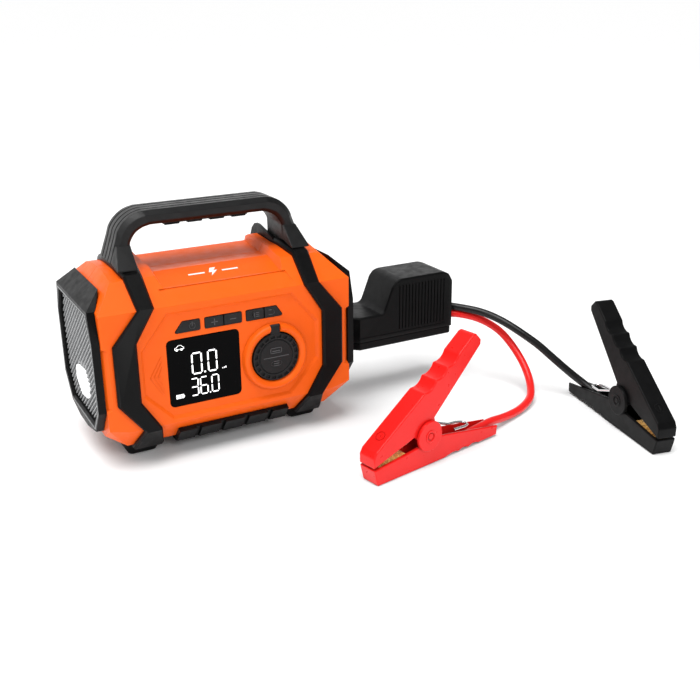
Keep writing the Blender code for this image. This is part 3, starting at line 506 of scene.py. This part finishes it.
def make_badge():
    """A generic lightning bolt between two rules, printed where the top slopes forward."""
    bolt = [(-1.2, 16.4), (3.4, 16.4), (0.6, 12.6), (3.6, 12.6), (-3.2, 5.8), (-1.1, 10.6),
            (-3.8, 10.6)]
    shapes = [[(x + BADGE_X, v) for x, v in bolt]]
    shapes.append(rectangle(RULE_ENDS[0], BADGE_X - BADGE_GAP, RULE_LOW, RULE_HIGH))
    shapes.append(rectangle(BADGE_X + BADGE_GAP, RULE_ENDS[1], RULE_LOW, RULE_HIGH))
    up_slope = [[(v, x) for x, v in shape] for shape in shapes]
    badge = on_slope(up_slope, SLOPE_FOOT, SLOPE_RISE, SLOPE_NORMAL, Vector((1, 0, 0)), -0.05, 0.12)
    piece("bolt_badge", badge, "led_white", "pack", look=PRINT_LOOK)


# ---------------------------------------------------------------- bands, guard and feet
def make_trim():
    for node in ("left_band", "right_band"):
        softened(node, "black_plastic", "pack", 0.5, angle=20.0)
    softened("bottom_guard", "black_plastic", "pack", 0.6, segments=2, angle=30.0)
    for x in ("left", "right"):
        for y in ("front", "rear"):
            softened(f"foot_{y}_{x}", "black_rubber", "pack", 0.7, angle=20.0)


# ---------------------------------------------------------------- handle
# Each station: the outer and the inner edge in X and Z, and half the depth along Y.
HANDLE_LINE = [
    ((0.0, 186.5), (0.0, 175.6), 16.5), ((43.5, 186.5), (41.0, 175.6), 16.5),
    ((52.0, 186.0), (46.5, 175.2), 16.5), ((59.3, 183.4), (51.6, 173.8), 16.5),
    ((65.3, 178.8), (56.4, 170.8), 16.5), ((69.6, 173.0), (59.8, 166.4), 16.6),
    ((71.8, 166.6), (61.4, 162.0), 16.8), ((77.4, 150.8), (61.8, 150.8), 17.6),
]
GROOVE_AT = (-7.2, 0.0, 7.2)
GROOVE_HALF, GROOVE_FLOOR_HALF, GROOVE_DEPTH = 1.0, 0.45, 0.75
STATION_STEPS = 5
FLARE_INNER_X, FLARE_OUTER_X = 61.9, 77.2
FLARE_LEAN_FROM_Z, FLARE_LEAN = 151.0, 0.38
FLARE_SIDE = [(14.0, 150.9), (31.0, 147.0), (31.2, 148.2), (16.4, 163.0), (14.0, 163.0)]


def catmull(a, b, c, d, t):
    """A point between b and c on the Catmull-Rom curve through a, b, c and d."""
    return 0.5 * (2 * b + (c - a) * t + (2 * a - 5 * b + 4 * c - d) * t * t
                  + (3 * b - a - 3 * c + d) * t ** 3)


def handle_stations(steps):
    """The handle's line from its middle to its right foot, with the corner rounded."""
    rows = [(Vector(out), Vector(into), half)
            for out, into, half in HANDLE_LINE]
    stations = [rows[0]]
    for i in range(1, len(rows) - 2):
        a, b, c, d = rows[i - 1], rows[i], rows[i + 1], rows[i + 2]
        for step in range(steps):
            t = step / steps
            stations.append((catmull(a[0], b[0], c[0], d[0], t),
                             catmull(a[1], b[1], c[1], d[1], t), b[2] + (c[2] - b[2]) * t))
    return stations + rows[-2:]


def handle_section(outer, inner, half):
    """Half depth profile: grooved outer face, wide outer chamfers, softer inner chamfers."""
    into = inner - outer
    depth = into.length
    step = into.normalized()
    profile = []
    for groove in GROOVE_AT:
        profile += [(groove - GROOVE_HALF, 0.0), (groove - GROOVE_FLOOR_HALF, GROOVE_DEPTH),
                    (groove + GROOVE_FLOOR_HALF, GROOVE_DEPTH), (groove + GROOVE_HALF, 0.0)]
    chamfer = [(half - 4.6, 0.0), (half - 4.0, 0.15), (half - 0.5, 3.1), (half, 3.8),
               (half, depth - 3.0), (half - 0.5, depth - 2.0), (half - 2.4, depth - 0.3),
               (half - 3.2, depth)]
    profile = [(-y, d) for y, d in reversed(chamfer)] + profile + chamfer
    return [(*(outer + step * d), y) for y, d in profile]


def handle_flare(sx):
    """The spreading foot at the front of a handle leg, lying over the slope of the band."""
    inner = [(sx * FLARE_INNER_X, -y, z) for y, z in FLARE_SIDE]
    outer = [(sx * (FLARE_OUTER_X - max(0.0, z - FLARE_LEAN_FROM_Z) * FLARE_LEAN), -y, z)
             for y, z in FLARE_SIDE]
    return soften(loft([inner, outer]), 0.6, 2)


def make_handle():
    right = handle_stations(STATION_STEPS)
    stations = [(Vector((-a.x, a.y)), Vector((-b.x, b.y)), h) for a, b, h in reversed(right[1:])]
    stations += right
    rings = [[(x, y, z) for x, z, y in handle_section(*station)] for station in stations]
    grip = loft(rings)
    for sx in (-1, 1):
        grip = combined(grip, handle_flare(sx), "UNION")
    piece("handle_grip", grip, "handle_plastic", "pack", ("handle",), smooth_degrees=25)
    softened("handle_pad", "black_rubber", "pack", 0.35, segments=2)


# ---------------------------------------------------------------- work light
LIGHT_WINDOW = [
    (-36, 117), (36, 117), (43, 100), (43, 54), (30, 38), (-30, 38), (-43, 54), (-43, 100),
]
LAMP = [(-16, 59), (-6, 69), (14, 67), (18, 56), (4, 45.5), (-12, 47.5)]
LIGHT_MID_Z, LAMP_MID_Z = 78.0, 57.0
GRATING_FIT, BACK_FIT, LAMP_GAP_FIT = 1.055, 1.06, 1.1
RIM_FITS, RIM_X = (1.14, 1.165), (-106.1, -105.2)
REFLECTOR_X = -101.6
RIB_PITCH, RIB_SLOPE, RIB_REACH = 4.5, -0.76, 60.0
RIBS_EACH_WAY = 19


def scaled_outline(outline, factor, mid_z=LIGHT_MID_Z):
    return [(y * factor, mid_z + (z - mid_z) * factor) for y, z in outline]


def diagonal_ribs():
    """Parallel ribs that slope across the whole window, flat in front and wider behind."""
    ribs = []
    for i in range(-RIBS_EACH_WAY, RIBS_EACH_WAY + 1):
        z = LIGHT_MID_Z + RIB_PITCH * i
        side = [(z - 1.5, REFLECTOR_X + 0.4), (z - 1.0, REFLECTOR_X - 1.5),
                (z + 0.6, REFLECTOR_X - 1.5), (z + 1.1, REFLECTOR_X + 0.4)]
        ends = []
        for y in (-RIB_REACH, RIB_REACH):
            ends.append([(x, y, height + RIB_SLOPE * y) for height, x in side])
        ribs.append(loft(ends))
    return merged(ribs)


def make_light():
    softened("light_bezel", "black_plastic", "pack", 0.7, angle=22.0)
    outline = scaled_outline(LIGHT_WINDOW, GRATING_FIT)
    window = prism(outline, "X", REFLECTOR_X - 4.0, REFLECTOR_X + 0.2)
    grating = combined(window, diagonal_ribs(), "INTERSECT")
    lamp_gap = scaled_outline(LAMP, LAMP_GAP_FIT, LAMP_MID_Z)
    grating = cut(grating, prism(lamp_gap, "X", REFLECTOR_X - 6.0, REFLECTOR_X + 2.0))
    piece("reflector_ribs", grating, "reflector_grey", "pack", smooth_degrees=5.0)
    # The plate behind the ribs takes the black look instead of the reflector's grey: painted shade
    # in the gaps between the ribs.
    back = prism(scaled_outline(LIGHT_WINDOW, BACK_FIT), "X", REFLECTOR_X, REFLECTOR_X + 1.0)
    piece("reflector_back_painted_shade", back, "reflector_grey", "pack", ("light_reflector",),
          look=LOOKS["black_plastic"])
    housing = prism(LAMP, "X", REFLECTOR_X - 2.6, REFLECTOR_X - 0.05)
    piece("lamp_window", soften(housing, 0.8, 3), "led_white", "pack", ("light_lens",))
    (inner, outer), (front, rear) = RIM_FITS, RIM_X
    rim = []
    for at, factor in ((front, outer), (front, inner), (rear, inner), (rear, outer)):
        rim.append([(at, y, z) for y, z in scaled_outline(LIGHT_WINDOW, factor)])
    piece("bezel_rim", soften(loft(rim, closed=True), 0.2, 2), "reflector_grey", "pack",
          look=TRIM_LOOK)


# ---------------------------------------------------------------- display
DISPLAY_Y = -52.3
SEGMENTS = {"0": "abcdef", "3": "abcdg", "6": "acdefg"}
SEGMENT_GAP, SEGMENT_SHARE, SEGMENT_POINT = 0.45, 0.05, 0.7
UPPER_Z, UPPER_HEIGHT = 67.6, 16.4
LOWER_Z, LOWER_HEIGHT, LOWER_X, LOWER_PITCH = 50.2, 13.6, -35.3, 7.6
BAR_X, BAR_PITCH, BAR_STEP = -9.6, 1.3, 0.4
CELL_X, CELL_PITCH = -46.7, 1.7


def digit(character, x0, z0, width, height):
    """Seven-segment strips of one digit; each segment has pointed ends."""
    mid = z0 + height / 2
    gap = SEGMENT_GAP
    x1, z1 = x0 + width, z0 + height
    lines = {
        "a": ((x0 + gap, z1), (x1 - gap, z1)), "b": ((x1, z1 - gap), (x1, mid + gap)),
        "c": ((x1, mid - gap), (x1, z0 + gap)), "d": ((x0 + gap, z0), (x1 - gap, z0)),
        "e": ((x0, mid - gap), (x0, z0 + gap)), "f": ((x0, z1 - gap), (x0, mid + gap)),
        "g": ((x0 + gap, mid), (x1 - gap, mid)),
    }
    thick = height * SEGMENT_SHARE
    strips = []
    for key in SEGMENTS[character]:
        a, b = (Vector(p) for p in lines[key])
        along = (b - a).normalized() * thick * SEGMENT_POINT
        across = Vector((-along.y, along.x))
        strips.append([tuple(a), tuple(a + along - across), tuple(b - along - across), tuple(b),
                       tuple(b - along + across), tuple(a + along + across)])
    return strips


def display_digits():
    """Two large digits above three smaller ones, each row with its point."""
    strips = digit("0", -33.3, UPPER_Z, 7.4, UPPER_HEIGHT)
    strips += digit("0", -20.6, UPPER_Z, 6.7, UPPER_HEIGHT)
    strips += [rectangle(-24.2, -22.9, 67.2, 68.5)]
    x = LOWER_X
    for character in "36":
        strips += digit(character, x, LOWER_Z, 5.6, LOWER_HEIGHT)
        x += LOWER_PITCH
    strips += digit("0", -18.6, LOWER_Z, 5.4, LOWER_HEIGHT)
    return strips + [rectangle(-20.8, -19.8, 49.8, 50.8)]


def unit_bars():
    """Three small rising bars beside the large digits."""
    return [rectangle(BAR_X + BAR_PITCH * i, BAR_X + 0.6 + BAR_PITCH * i, UPPER_Z,
                      UPPER_Z + 0.8 + BAR_STEP * i) for i in range(3)]


def car_outline():
    body = [(-46.0, 89.2), (-46.0, 90.4), (-44.6, 90.8), (-43.4, 92.2), (-41.0, 92.2),
            (-39.8, 90.9), (-39.0, 90.4), (-39.0, 89.2)]
    strips = stroke(body, 0.24, closed=True)
    for x in (-44.4, -40.8):
        strips += stroke(circle(x, 88.9, 0.75, 12), 0.22, closed=True)
    return strips


def battery_outline():
    strips = stroke(rectangle(-47.2, -41.7, 50.2, 53.0), 0.35, closed=True)
    strips += [rectangle(-41.4, -40.8, 51.0, 52.2)]
    return strips + [rectangle(CELL_X + CELL_PITCH * i, CELL_X + 1.1 + CELL_PITCH * i, 50.7, 52.5)
                     for i in range(3)]


def make_display():
    softened("display_window", "display_glass", "pack", 0.4)
    strips = display_digits() + unit_bars() + car_outline() + battery_outline()
    marks = on_front(strips, DISPLAY_Y - 0.1, DISPLAY_Y + 0.05)
    piece("display_marks", marks, "led_white", "pack", look=DIGIT_LOOK)


# ---------------------------------------------------------------- keys
KEY_FACE_Y, ICON_Z = -52.9, 106.0


def key_icons():
    """Raised strokes for each key, in X and Z."""
    z = ICON_Z
    power = stroke(arc(-31.4, z, 2.3, -235, 55), 0.5)
    power += stroke([(-31.4, z + 0.4), (-31.4, z + 3.0)], 0.5)
    plus = stroke([(-16.2, z), (-11.6, z)], 0.6)
    plus += stroke([(-13.9, z - 2.3), (-13.9, z + 2.3)], 0.6)
    minus = stroke([(-1.2, z), (3.2, z)], 0.6)
    lamp = stroke(arc(18.6, z, 2.2, 90, 270), 0.5)
    lamp += stroke([(18.6, z + 2.2), (18.6, z - 2.2)], 0.5)
    for i in (-1, 0, 1):
        lamp += stroke([(20.0, z + 1.5 * i), (22.2, z + 1.5 * i)], 0.45)
    bend = arc(33.4, z, 1.9, -90, 90, 8)
    back = stroke([(30.6, z - 1.9), (33.4, z - 1.9)] + bend + [(30.6, z + 1.9)], 0.5)
    return {"power_key": power, "plus_key": plus, "minus_key": minus, "light_key": lamp,
            "return_key": back}


def make_keys():
    for name, strips in key_icons().items():
        softened(name, "black_rubber", name, 0.55, look=KEY_LOOK)
        icon = on_front(strips, KEY_FACE_Y - 0.16, KEY_FACE_Y + 0.1)
        piece(name + "_icon", icon, "black_rubber", name, look=ICON_LOOK)


# ---------------------------------------------------------------- port ring and cap
PORT_CENTRE = (34.2, 69.6)
PORT_SIDES = 96
# Turned profiles: radius, and place along Y.
RING_PROFILE = [
    (20.3, -50.2), (20.9, -50.2), (20.9, -52.3), (27.2, -52.3), (27.1, -53.0), (26.6, -55.1),
    (26.0, -56.3), (25.0, -57.2), (24.2, -57.4), (23.2, -57.2), (22.5, -56.8), (20.8, -55.1),
    (20.4, -54.6), (20.3, -54.0),
]
CAP_TOP_Y = -55.9
CAP_PROFILE = [
    (0.0, -51.8), (19.1, -51.8), (19.4, -52.1), (19.4, -55.2), (19.2, -55.6), (18.7, CAP_TOP_Y),
    (14.9, CAP_TOP_Y), (14.6, -55.7), (14.4, -55.2), (14.1, -55.0), (13.7, -55.2), (13.5, -55.6),
    (13.2, -55.7), (0.0, -55.7),
]
POCKETS = 20
POCKET = [(15.6, -1.75), (18.3, -2.1), (18.3, 2.1), (15.6, 1.75)]  # radius, and place across it
POCKET_DEPTH = 1.2
CAP_HINGE = (-54.4, 95.0)  # Y and Z
CAP_TAB_HALF = 3.8


def cap_pockets():
    """A ring of finger pockets in the rim of the cap."""
    pockets = []
    for i in range(POCKETS):
        turn = 2 * math.pi * (i + 0.5) / POCKETS
        out = Vector((math.cos(turn), math.sin(turn)))
        across = Vector((-out.y, out.x))
        outline = [tuple(Vector(PORT_CENTRE) + out * r + across * s) for r, s in POCKET]
        pockets.append(prism(outline, "Y", -57.0, CAP_TOP_Y + POCKET_DEPTH))
    return merged(pockets)


def cap_marks():
    """A rule between two socket outlines, an oblong one above and a pill below."""
    cx, cz = PORT_CENTRE
    strips = stroke([(cx - 10.5, cz), (cx + 10.5, cz)], 0.6)
    strips += stroke(rectangle(cx - 4.6, cx + 4.6, cz + 3.4, cz + 7.4), 0.55, closed=True)
    strips += [rectangle(cx - 3.2, cx + 3.2, cz + 4.6, cz + 5.4)]
    pill = arc(cx + 2.6, cz - 5.4, 1.8, -90, 90, 8) + arc(cx - 2.6, cz - 5.4, 1.8, 90, 270, 8)
    strips += stroke(pill, 0.55, closed=True)
    return strips + [rectangle(cx - 2.2, cx + 2.2, cz - 5.7, cz - 5.1)]


def make_port():
    cx, cz = PORT_CENTRE
    ring = turned(RING_PROFILE, PORT_CENTRE, "Y", PORT_SIDES)
    ring = cut(ring, prism(rectangle(cx - 4.3, cx + 4.3, cz + 15, 97.0), "Y", -60, -52.8))
    piece("port_ring_turned", ring, "orange_plastic", "pack", ("port_ring",))
    cap = cut(turned(CAP_PROFILE, PORT_CENTRE, "Y", PORT_SIDES), cap_pockets())
    left, right = cx - CAP_TAB_HALF, cx + CAP_TAB_HALF
    tab = prism(rectangle(left, right, cz + 17.2, CAP_HINGE[1]), "Y", -55.5, -53.4)
    barrel = prism(circle(*CAP_HINGE, 1.05, 20), "X", left, right)
    cap = combined(cap, soften(tab, 0.3, 2), "UNION")
    cap = combined(cap, barrel, "UNION")
    piece("port_cap_moulded", cap, "black_rubber", "port_cap", ("port_cap",), look=KEY_LOOK)
    piece("port_cap_marks", on_front(cap_marks(), -55.95, -55.6), "black_rubber", "port_cap",
          look=ICON_LOOK)
    lug = prism([(cx - 6.0, cz + 27.0), (cx - 5.2, cz + 25.6), (cx + 5.2, cz + 25.6),
                 (cx + 6.0, cz + 27.0)], "Y", -53.6, -51.9)
    piece("port_notch_sill", soften(lug, 0.3, 2), "orange_plastic", "pack")


# ---------------------------------------------------------------- socket end
def make_socket_end():
    softened("end_cover", "black_plastic", "pack", 0.6, segments=2, angle=25.0)
    softened("charge_flap", "black_rubber", "charge_flap", 0.4, segments=2)
    softened("jump_socket", "black_plastic", "pack", 0.35, segments=2, angle=40.0)


# ---------------------------------------------------------------- lead module
MODULE_HALF_W = 21.5
MODULE_END_X = 224.0
MODULE_SIDE = [
    (111.0, 52.1), (111.0, 74.6), (150.5, 74.6), (153.6, 76.6), (162.0, 97.8), (165.6, 102.0),
    (170.5, 103.6), (214.0, 103.6), (220.6, 101.2), (MODULE_END_X, 95.0), (MODULE_END_X, 52.1),
]
NOSE_HALF_W, NOSE_END_X, SHOULDER_X = 12.5, 119.5, 129.0
COVER_LOW_Z = 53.0
SLOT_COUNT, SLOT_X, SLOT_PITCH, SLOT_HALF = 15, 168.6, 3.3, 0.45
SLOT_LOW_Z, SLOT_HIGH_Z = 58.0, 98.0
GLAND_AT = {"red": (-5.0, 60.2), "black": (-3.0, 68.2)}  # Y and Z
GLAND_PROFILE = [
    (3.7, 215.6), (5.6, 215.6), (5.4, 221.0), (4.6, 224.6), (4.2, 225.2), (3.7, 225.2),
]


def side_grooves(side):
    """The cutter for one side of the module: a row of upright grooves over one long groove."""
    w = MODULE_HALF_W
    grooves = []
    for i in range(SLOT_COUNT):
        x = SLOT_X + SLOT_PITCH * i
        y0, y1 = sorted((side * (w - 1.0), side * (w + 1.0)))
        groove = rectangle(x - SLOT_HALF, x + SLOT_HALF, SLOT_LOW_Z, SLOT_HIGH_Z)
        grooves.append(prism(groove, "Y", y0, y1))
    y0, y1 = sorted((side * (w - 0.5), side * (w + 1.0)))
    grooves.append(prism(rectangle(127.0, 216.0, 55.5, 56.4), "Y", y0, y1))
    return merged(grooves)


def make_module():
    w = MODULE_HALF_W
    body = prism(MODULE_SIDE, "Y", -w, w)
    for sy in (-1, 1):
        beside_nose = [(100, sy * NOSE_HALF_W), (NOSE_END_X, sy * NOSE_HALF_W),
                       (SHOULDER_X, sy * w), (SHOULDER_X, sy * 26), (100, sy * 26)]
        body = cut(body, prism(beside_nose, "Z", 40, 110))
    bmesh.ops.dissolve_limit(body, angle_limit=0.01, verts=body.verts, edges=body.edges)

    def upper(edge):
        return min(v.co.z for v in edge.verts) > COVER_LOW_Z

    soften(body, 1.9, 4, 12.0, upper)
    for side in (-1, 1):
        body = cut(body, side_grooves(side))
    lead_pocket = prism(rectangle(-17.0, 9.0, 55.4, 73.4), "X", 215.0, MODULE_END_X + 2)
    body = cut(body, lead_pocket)
    piece("module_cover", body, "black_plastic", "lead_set", ("module_top",))
    softened("module_base", "black_plastic", "lead_set", 0.7)
    for name, centre in GLAND_AT.items():
        gland = turned(GLAND_PROFILE, centre, "X", 40)
        piece(f"{name}_gland", gland, "black_rubber", "lead_set")


# ---------------------------------------------------------------- clamps
CLAMP_SCALE = 1.025
PIN_S, PIN_H = 48.0, 24.6  # the hinge pin, along the clamp from its tip, and above its base
JAW_HALF_W, JAW_SIDE_GAP, EAR_HALF_W = 8.2, 0.2, 10.8
LOWER_KEEP, UPPER_KEEP, EAR_KEEP = 12.6, 5.0, 8.0  # how near the pin edges stay sharp
# The face of the upper jaw from its tip to where it levels off, as X, Y and Z in the clamp.
UPPER_FACE = (Vector((-2.2, 0, 26.2)), Vector((43.8, 0, 58.6)))
MARK_ALONG = 13.0
# Round the pin on each ear: radius, and distance from the clamp's middle.
HUB_RING = [(3.4, 10.7), (3.4, 11.05), (3.7, 11.3), (4.7, 11.3), (5.0, 11.05), (5.0, 10.7)]
HUB_CAP = [(0.0, 10.3), (2.5, 10.3), (2.5, 10.9), (2.1, 11.2), (0.0, 11.2)]


def clamp_matrix(colour):
    """Clamp frame to world, from the hinge: X from tip to tail, Y across, Z up."""
    joint = JOINTS[colour + "_jaw_hinge"]
    axis = Vector(joint["axis"])
    along = Vector((axis.y, -axis.x, 0))
    pin = Vector(joint["pos_m"]) / MM
    origin = pin - along * PIN_S * CLAMP_SCALE - Vector((0, 0, PIN_H * CLAMP_SCALE))
    turn = Matrix((along, Vector((axis.x, axis.y, 0)), Vector((0, 0, 1)))).transposed().to_4x4()
    return Matrix.Translation(origin) @ turn @ Matrix.Scale(CLAMP_SCALE, 4)


def outer_edges(matrix, half, nearest):
    """Picks edges on a jaw's outer side faces that stay clear of the pin."""
    inverse = matrix.inverted()

    def chosen(edge):
        local = [inverse @ v.co for v in edge.verts]
        reach = [math.hypot(p.x - PIN_S, p.z - PIN_H) for p in local]
        on_side = all(abs(abs(p.y) - half) < 0.02 for p in local)
        return on_side and min(reach) > nearest

    return chosen


def make_clamp(colour):
    """Both jaws with rounded side edges, hub rings and caps, the polarity mark and the spring."""
    matrix = clamp_matrix(colour)
    slot = f"{colour}_plastic"
    lower, upper = f"{colour}_lower_jaw", f"{colour}_upper_jaw"
    bm = from_node(lower)
    soften(bm, 1.0, 4, 20.0, outer_edges(matrix, JAW_HALF_W, LOWER_KEEP), False)
    soften(bm, 0.6, 3, 20.0, outer_edges(matrix, EAR_HALF_W, EAR_KEEP), False)
    piece(lower + "_soft", bm, slot, "lead_set", (lower,))
    bm = from_node(upper)
    soften(bm, 1.0, 4, 20.0, outer_edges(matrix, JAW_HALF_W - JAW_SIDE_GAP, UPPER_KEEP), False)
    piece(upper + "_soft", bm, slot, f"{colour}_jaw", (upper,))
    for side in (-1, 1):
        for name, profile, sides in (("ring", HUB_RING, 40), ("cap", HUB_CAP, 32)):
            hub = turned([(r, side * y) for r, y in profile], (PIN_S, PIN_H), "Y", sides)
            hub.transform(matrix)
            bmesh.ops.recalc_face_normals(hub, faces=hub.faces)
            piece(f"{colour}_hub_{name}_{side + 1}", hub, slot, "lead_set")
    make_mark(colour, matrix, slot)
    wire_clip(colour, matrix)


def make_mark(colour, matrix, slot):
    """A raised ring with a polarity sign near the tip of the upper jaw."""
    start, end = UPPER_FACE
    rise = (end - start).normalized()
    normal = Vector((-rise.z, 0, rise.x))
    centre = start + rise * MARK_ALONG
    strips = stroke(circle(0, 0, 3.6, 28), 0.7, closed=True)
    strips += stroke([(-1.7, 0), (1.7, 0)], 0.8)
    if colour == "red":
        strips += stroke([(0, -1.7), (0, 1.7)], 0.8)
    mark = on_slope(strips, centre, rise, normal, Vector((0, 1, 0)), -0.1, 0.35)
    mark.transform(matrix)
    piece(f"{colour}_polarity_mark", mark, slot, f"{colour}_jaw")


def tube_curve(name, points, radius, slot, body, look=None):
    """A round tube through points in millimetres, as a piece on a body."""
    curve = bpy.data.curves.new(name, "CURVE")
    curve.dimensions = "3D"
    curve.bevel_depth = radius * MM
    curve.bevel_resolution = 4
    curve.use_fill_caps = True
    spline = curve.splines.new("POLY")
    spline.points.add(len(points) - 1)
    spline.use_smooth = True
    for target, point in zip(spline.points, points):
        target.co = (*(Vector(point) * MM), 1.0)
    obj = bpy.data.objects.new(name, curve)
    SCENE.collection.objects.link(obj)
    curve.materials.append(look or LOOKS[slot])
    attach(obj, body)
    return obj


WIRE_RADIUS = 1.05
COIL_START_DEGREES = 70


def wire_clip(colour, matrix):
    """The spring's coil round the pin and its legs, which end in a bent loop over the lead."""
    radius, half, turns, per_turn = 4.4, 4.6, 4, 24
    points = []
    for i in range(turns * per_turn + 1):
        angle = math.radians(COIL_START_DEGREES) - 2 * math.pi * i / per_turn
        points.append((PIN_S + radius * math.cos(angle),
                       -half + 2 * half * i / (turns * per_turn), PIN_H + radius * math.sin(angle)))
    last = points[-1]
    points += [(last[0] + 12, 5.2, last[2] - 2.2), (82.0, 5.3, 18.4), (90.0, 5.0, 17.8),
               (95.0, 3.4, 17.0), (97.0, 0.0, 16.6), (95.0, -3.4, 17.0), (90.0, -5.0, 17.8),
               (78.0, -5.3, 18.8)]
    spring = tube_curve(f"{colour}_wire_spring", [matrix @ Vector(p) for p in points],
                        WIRE_RADIUS, "steel", "lead_set", WIRE_LOOK)
    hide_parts(f"{colour}_spring")


# ---------------------------------------------------------------- leads
LEAD_D = 6.8
LEAD_SPACING_M = 0.003
CURVE_STEPS = 24
# The routes run from inside the gland to inside the clamp's tail.
RED_ROUTE = [
    (0.2186, -0.0050, 0.0602), (0.2290, -0.0140, 0.0604), (0.2360, -0.0198, 0.0600),
    (0.2460, -0.0270, 0.0575), (0.2550, -0.0350, 0.0530), (0.2625, -0.0450, 0.0460),
    (0.2665, -0.0570, 0.0365), (0.2675, -0.0700, 0.0265), (0.2655, -0.0820, 0.0178),
    (0.2605, -0.0930, 0.0110), (0.2515, -0.1040, 0.0065), (0.2390, -0.1118, 0.0044),
    (0.2245, -0.1180, 0.0038), (0.2060, -0.1246, 0.0056), (0.1900, -0.1300, 0.0082),
    (0.1750, -0.1339, 0.0080), (0.1600, -0.1372, 0.0074),
]
BLACK_ROUTE = [
    (0.2186, -0.0030, 0.0682), (0.2290, -0.0146, 0.0674), (0.2367, -0.0230, 0.0666),
    (0.2443, -0.0317, 0.0654), (0.2506, -0.0400, 0.0634), (0.2560, -0.0494, 0.0606),
    (0.2615, -0.0600, 0.0564), (0.2680, -0.0710, 0.0504), (0.2755, -0.0817, 0.0430),
    (0.2820, -0.0915, 0.0348), (0.2880, -0.1005, 0.0272), (0.2942, -0.1088, 0.0200),
    (0.2994, -0.1176, 0.0140), (0.3014, -0.1280, 0.0098), (0.3000, -0.1385, 0.0080),
    (0.2980, -0.1490, 0.0075),
]


def smooth_route(points, spacing):
    """Even points along a Catmull-Rom curve through the route's own points."""
    route = [Vector(p) for p in points]
    route = [2 * route[0] - route[1]] + route + [2 * route[-1] - route[-2]]
    dense = []
    for a, b, c, d in zip(route, route[1:], route[2:], route[3:]):
        dense += [catmull(a, b, c, d, step / CURVE_STEPS) for step in range(CURVE_STEPS)]
    dense.append(route[-2])
    total = sum((q - p).length for p, q in zip(dense, dense[1:]))
    count = max(2, round(total / spacing))
    picked = [dense[0]]
    travelled = 0.0
    for p, q in zip(dense, dense[1:]):
        travelled += (q - p).length
        if travelled >= total * len(picked) / count and len(picked) < count:
            picked.append(q)
    return picked + [dense[-1]], total


def make_lead(colour, route):
    points, length = smooth_route(route, LEAD_SPACING_M)
    lead = tube_curve(f"lead_{colour}", [p / MM for p in points], LEAD_D / 2,
                      f"{colour}_silicone", "lead_set")
    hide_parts(f"{colour}_lead")


# ---------------------------------------------------------------- the whole scene
make_camera()
dress_frame()
make_lead("red", RED_ROUTE)
make_lead("black", BLACK_ROUTE)
make_casing()
make_badge()
make_trim()
make_handle()
make_light()
make_display()
make_keys()
make_port()
make_socket_end()
make_module()
make_clamp("red")
make_clamp("black")
make_studio()
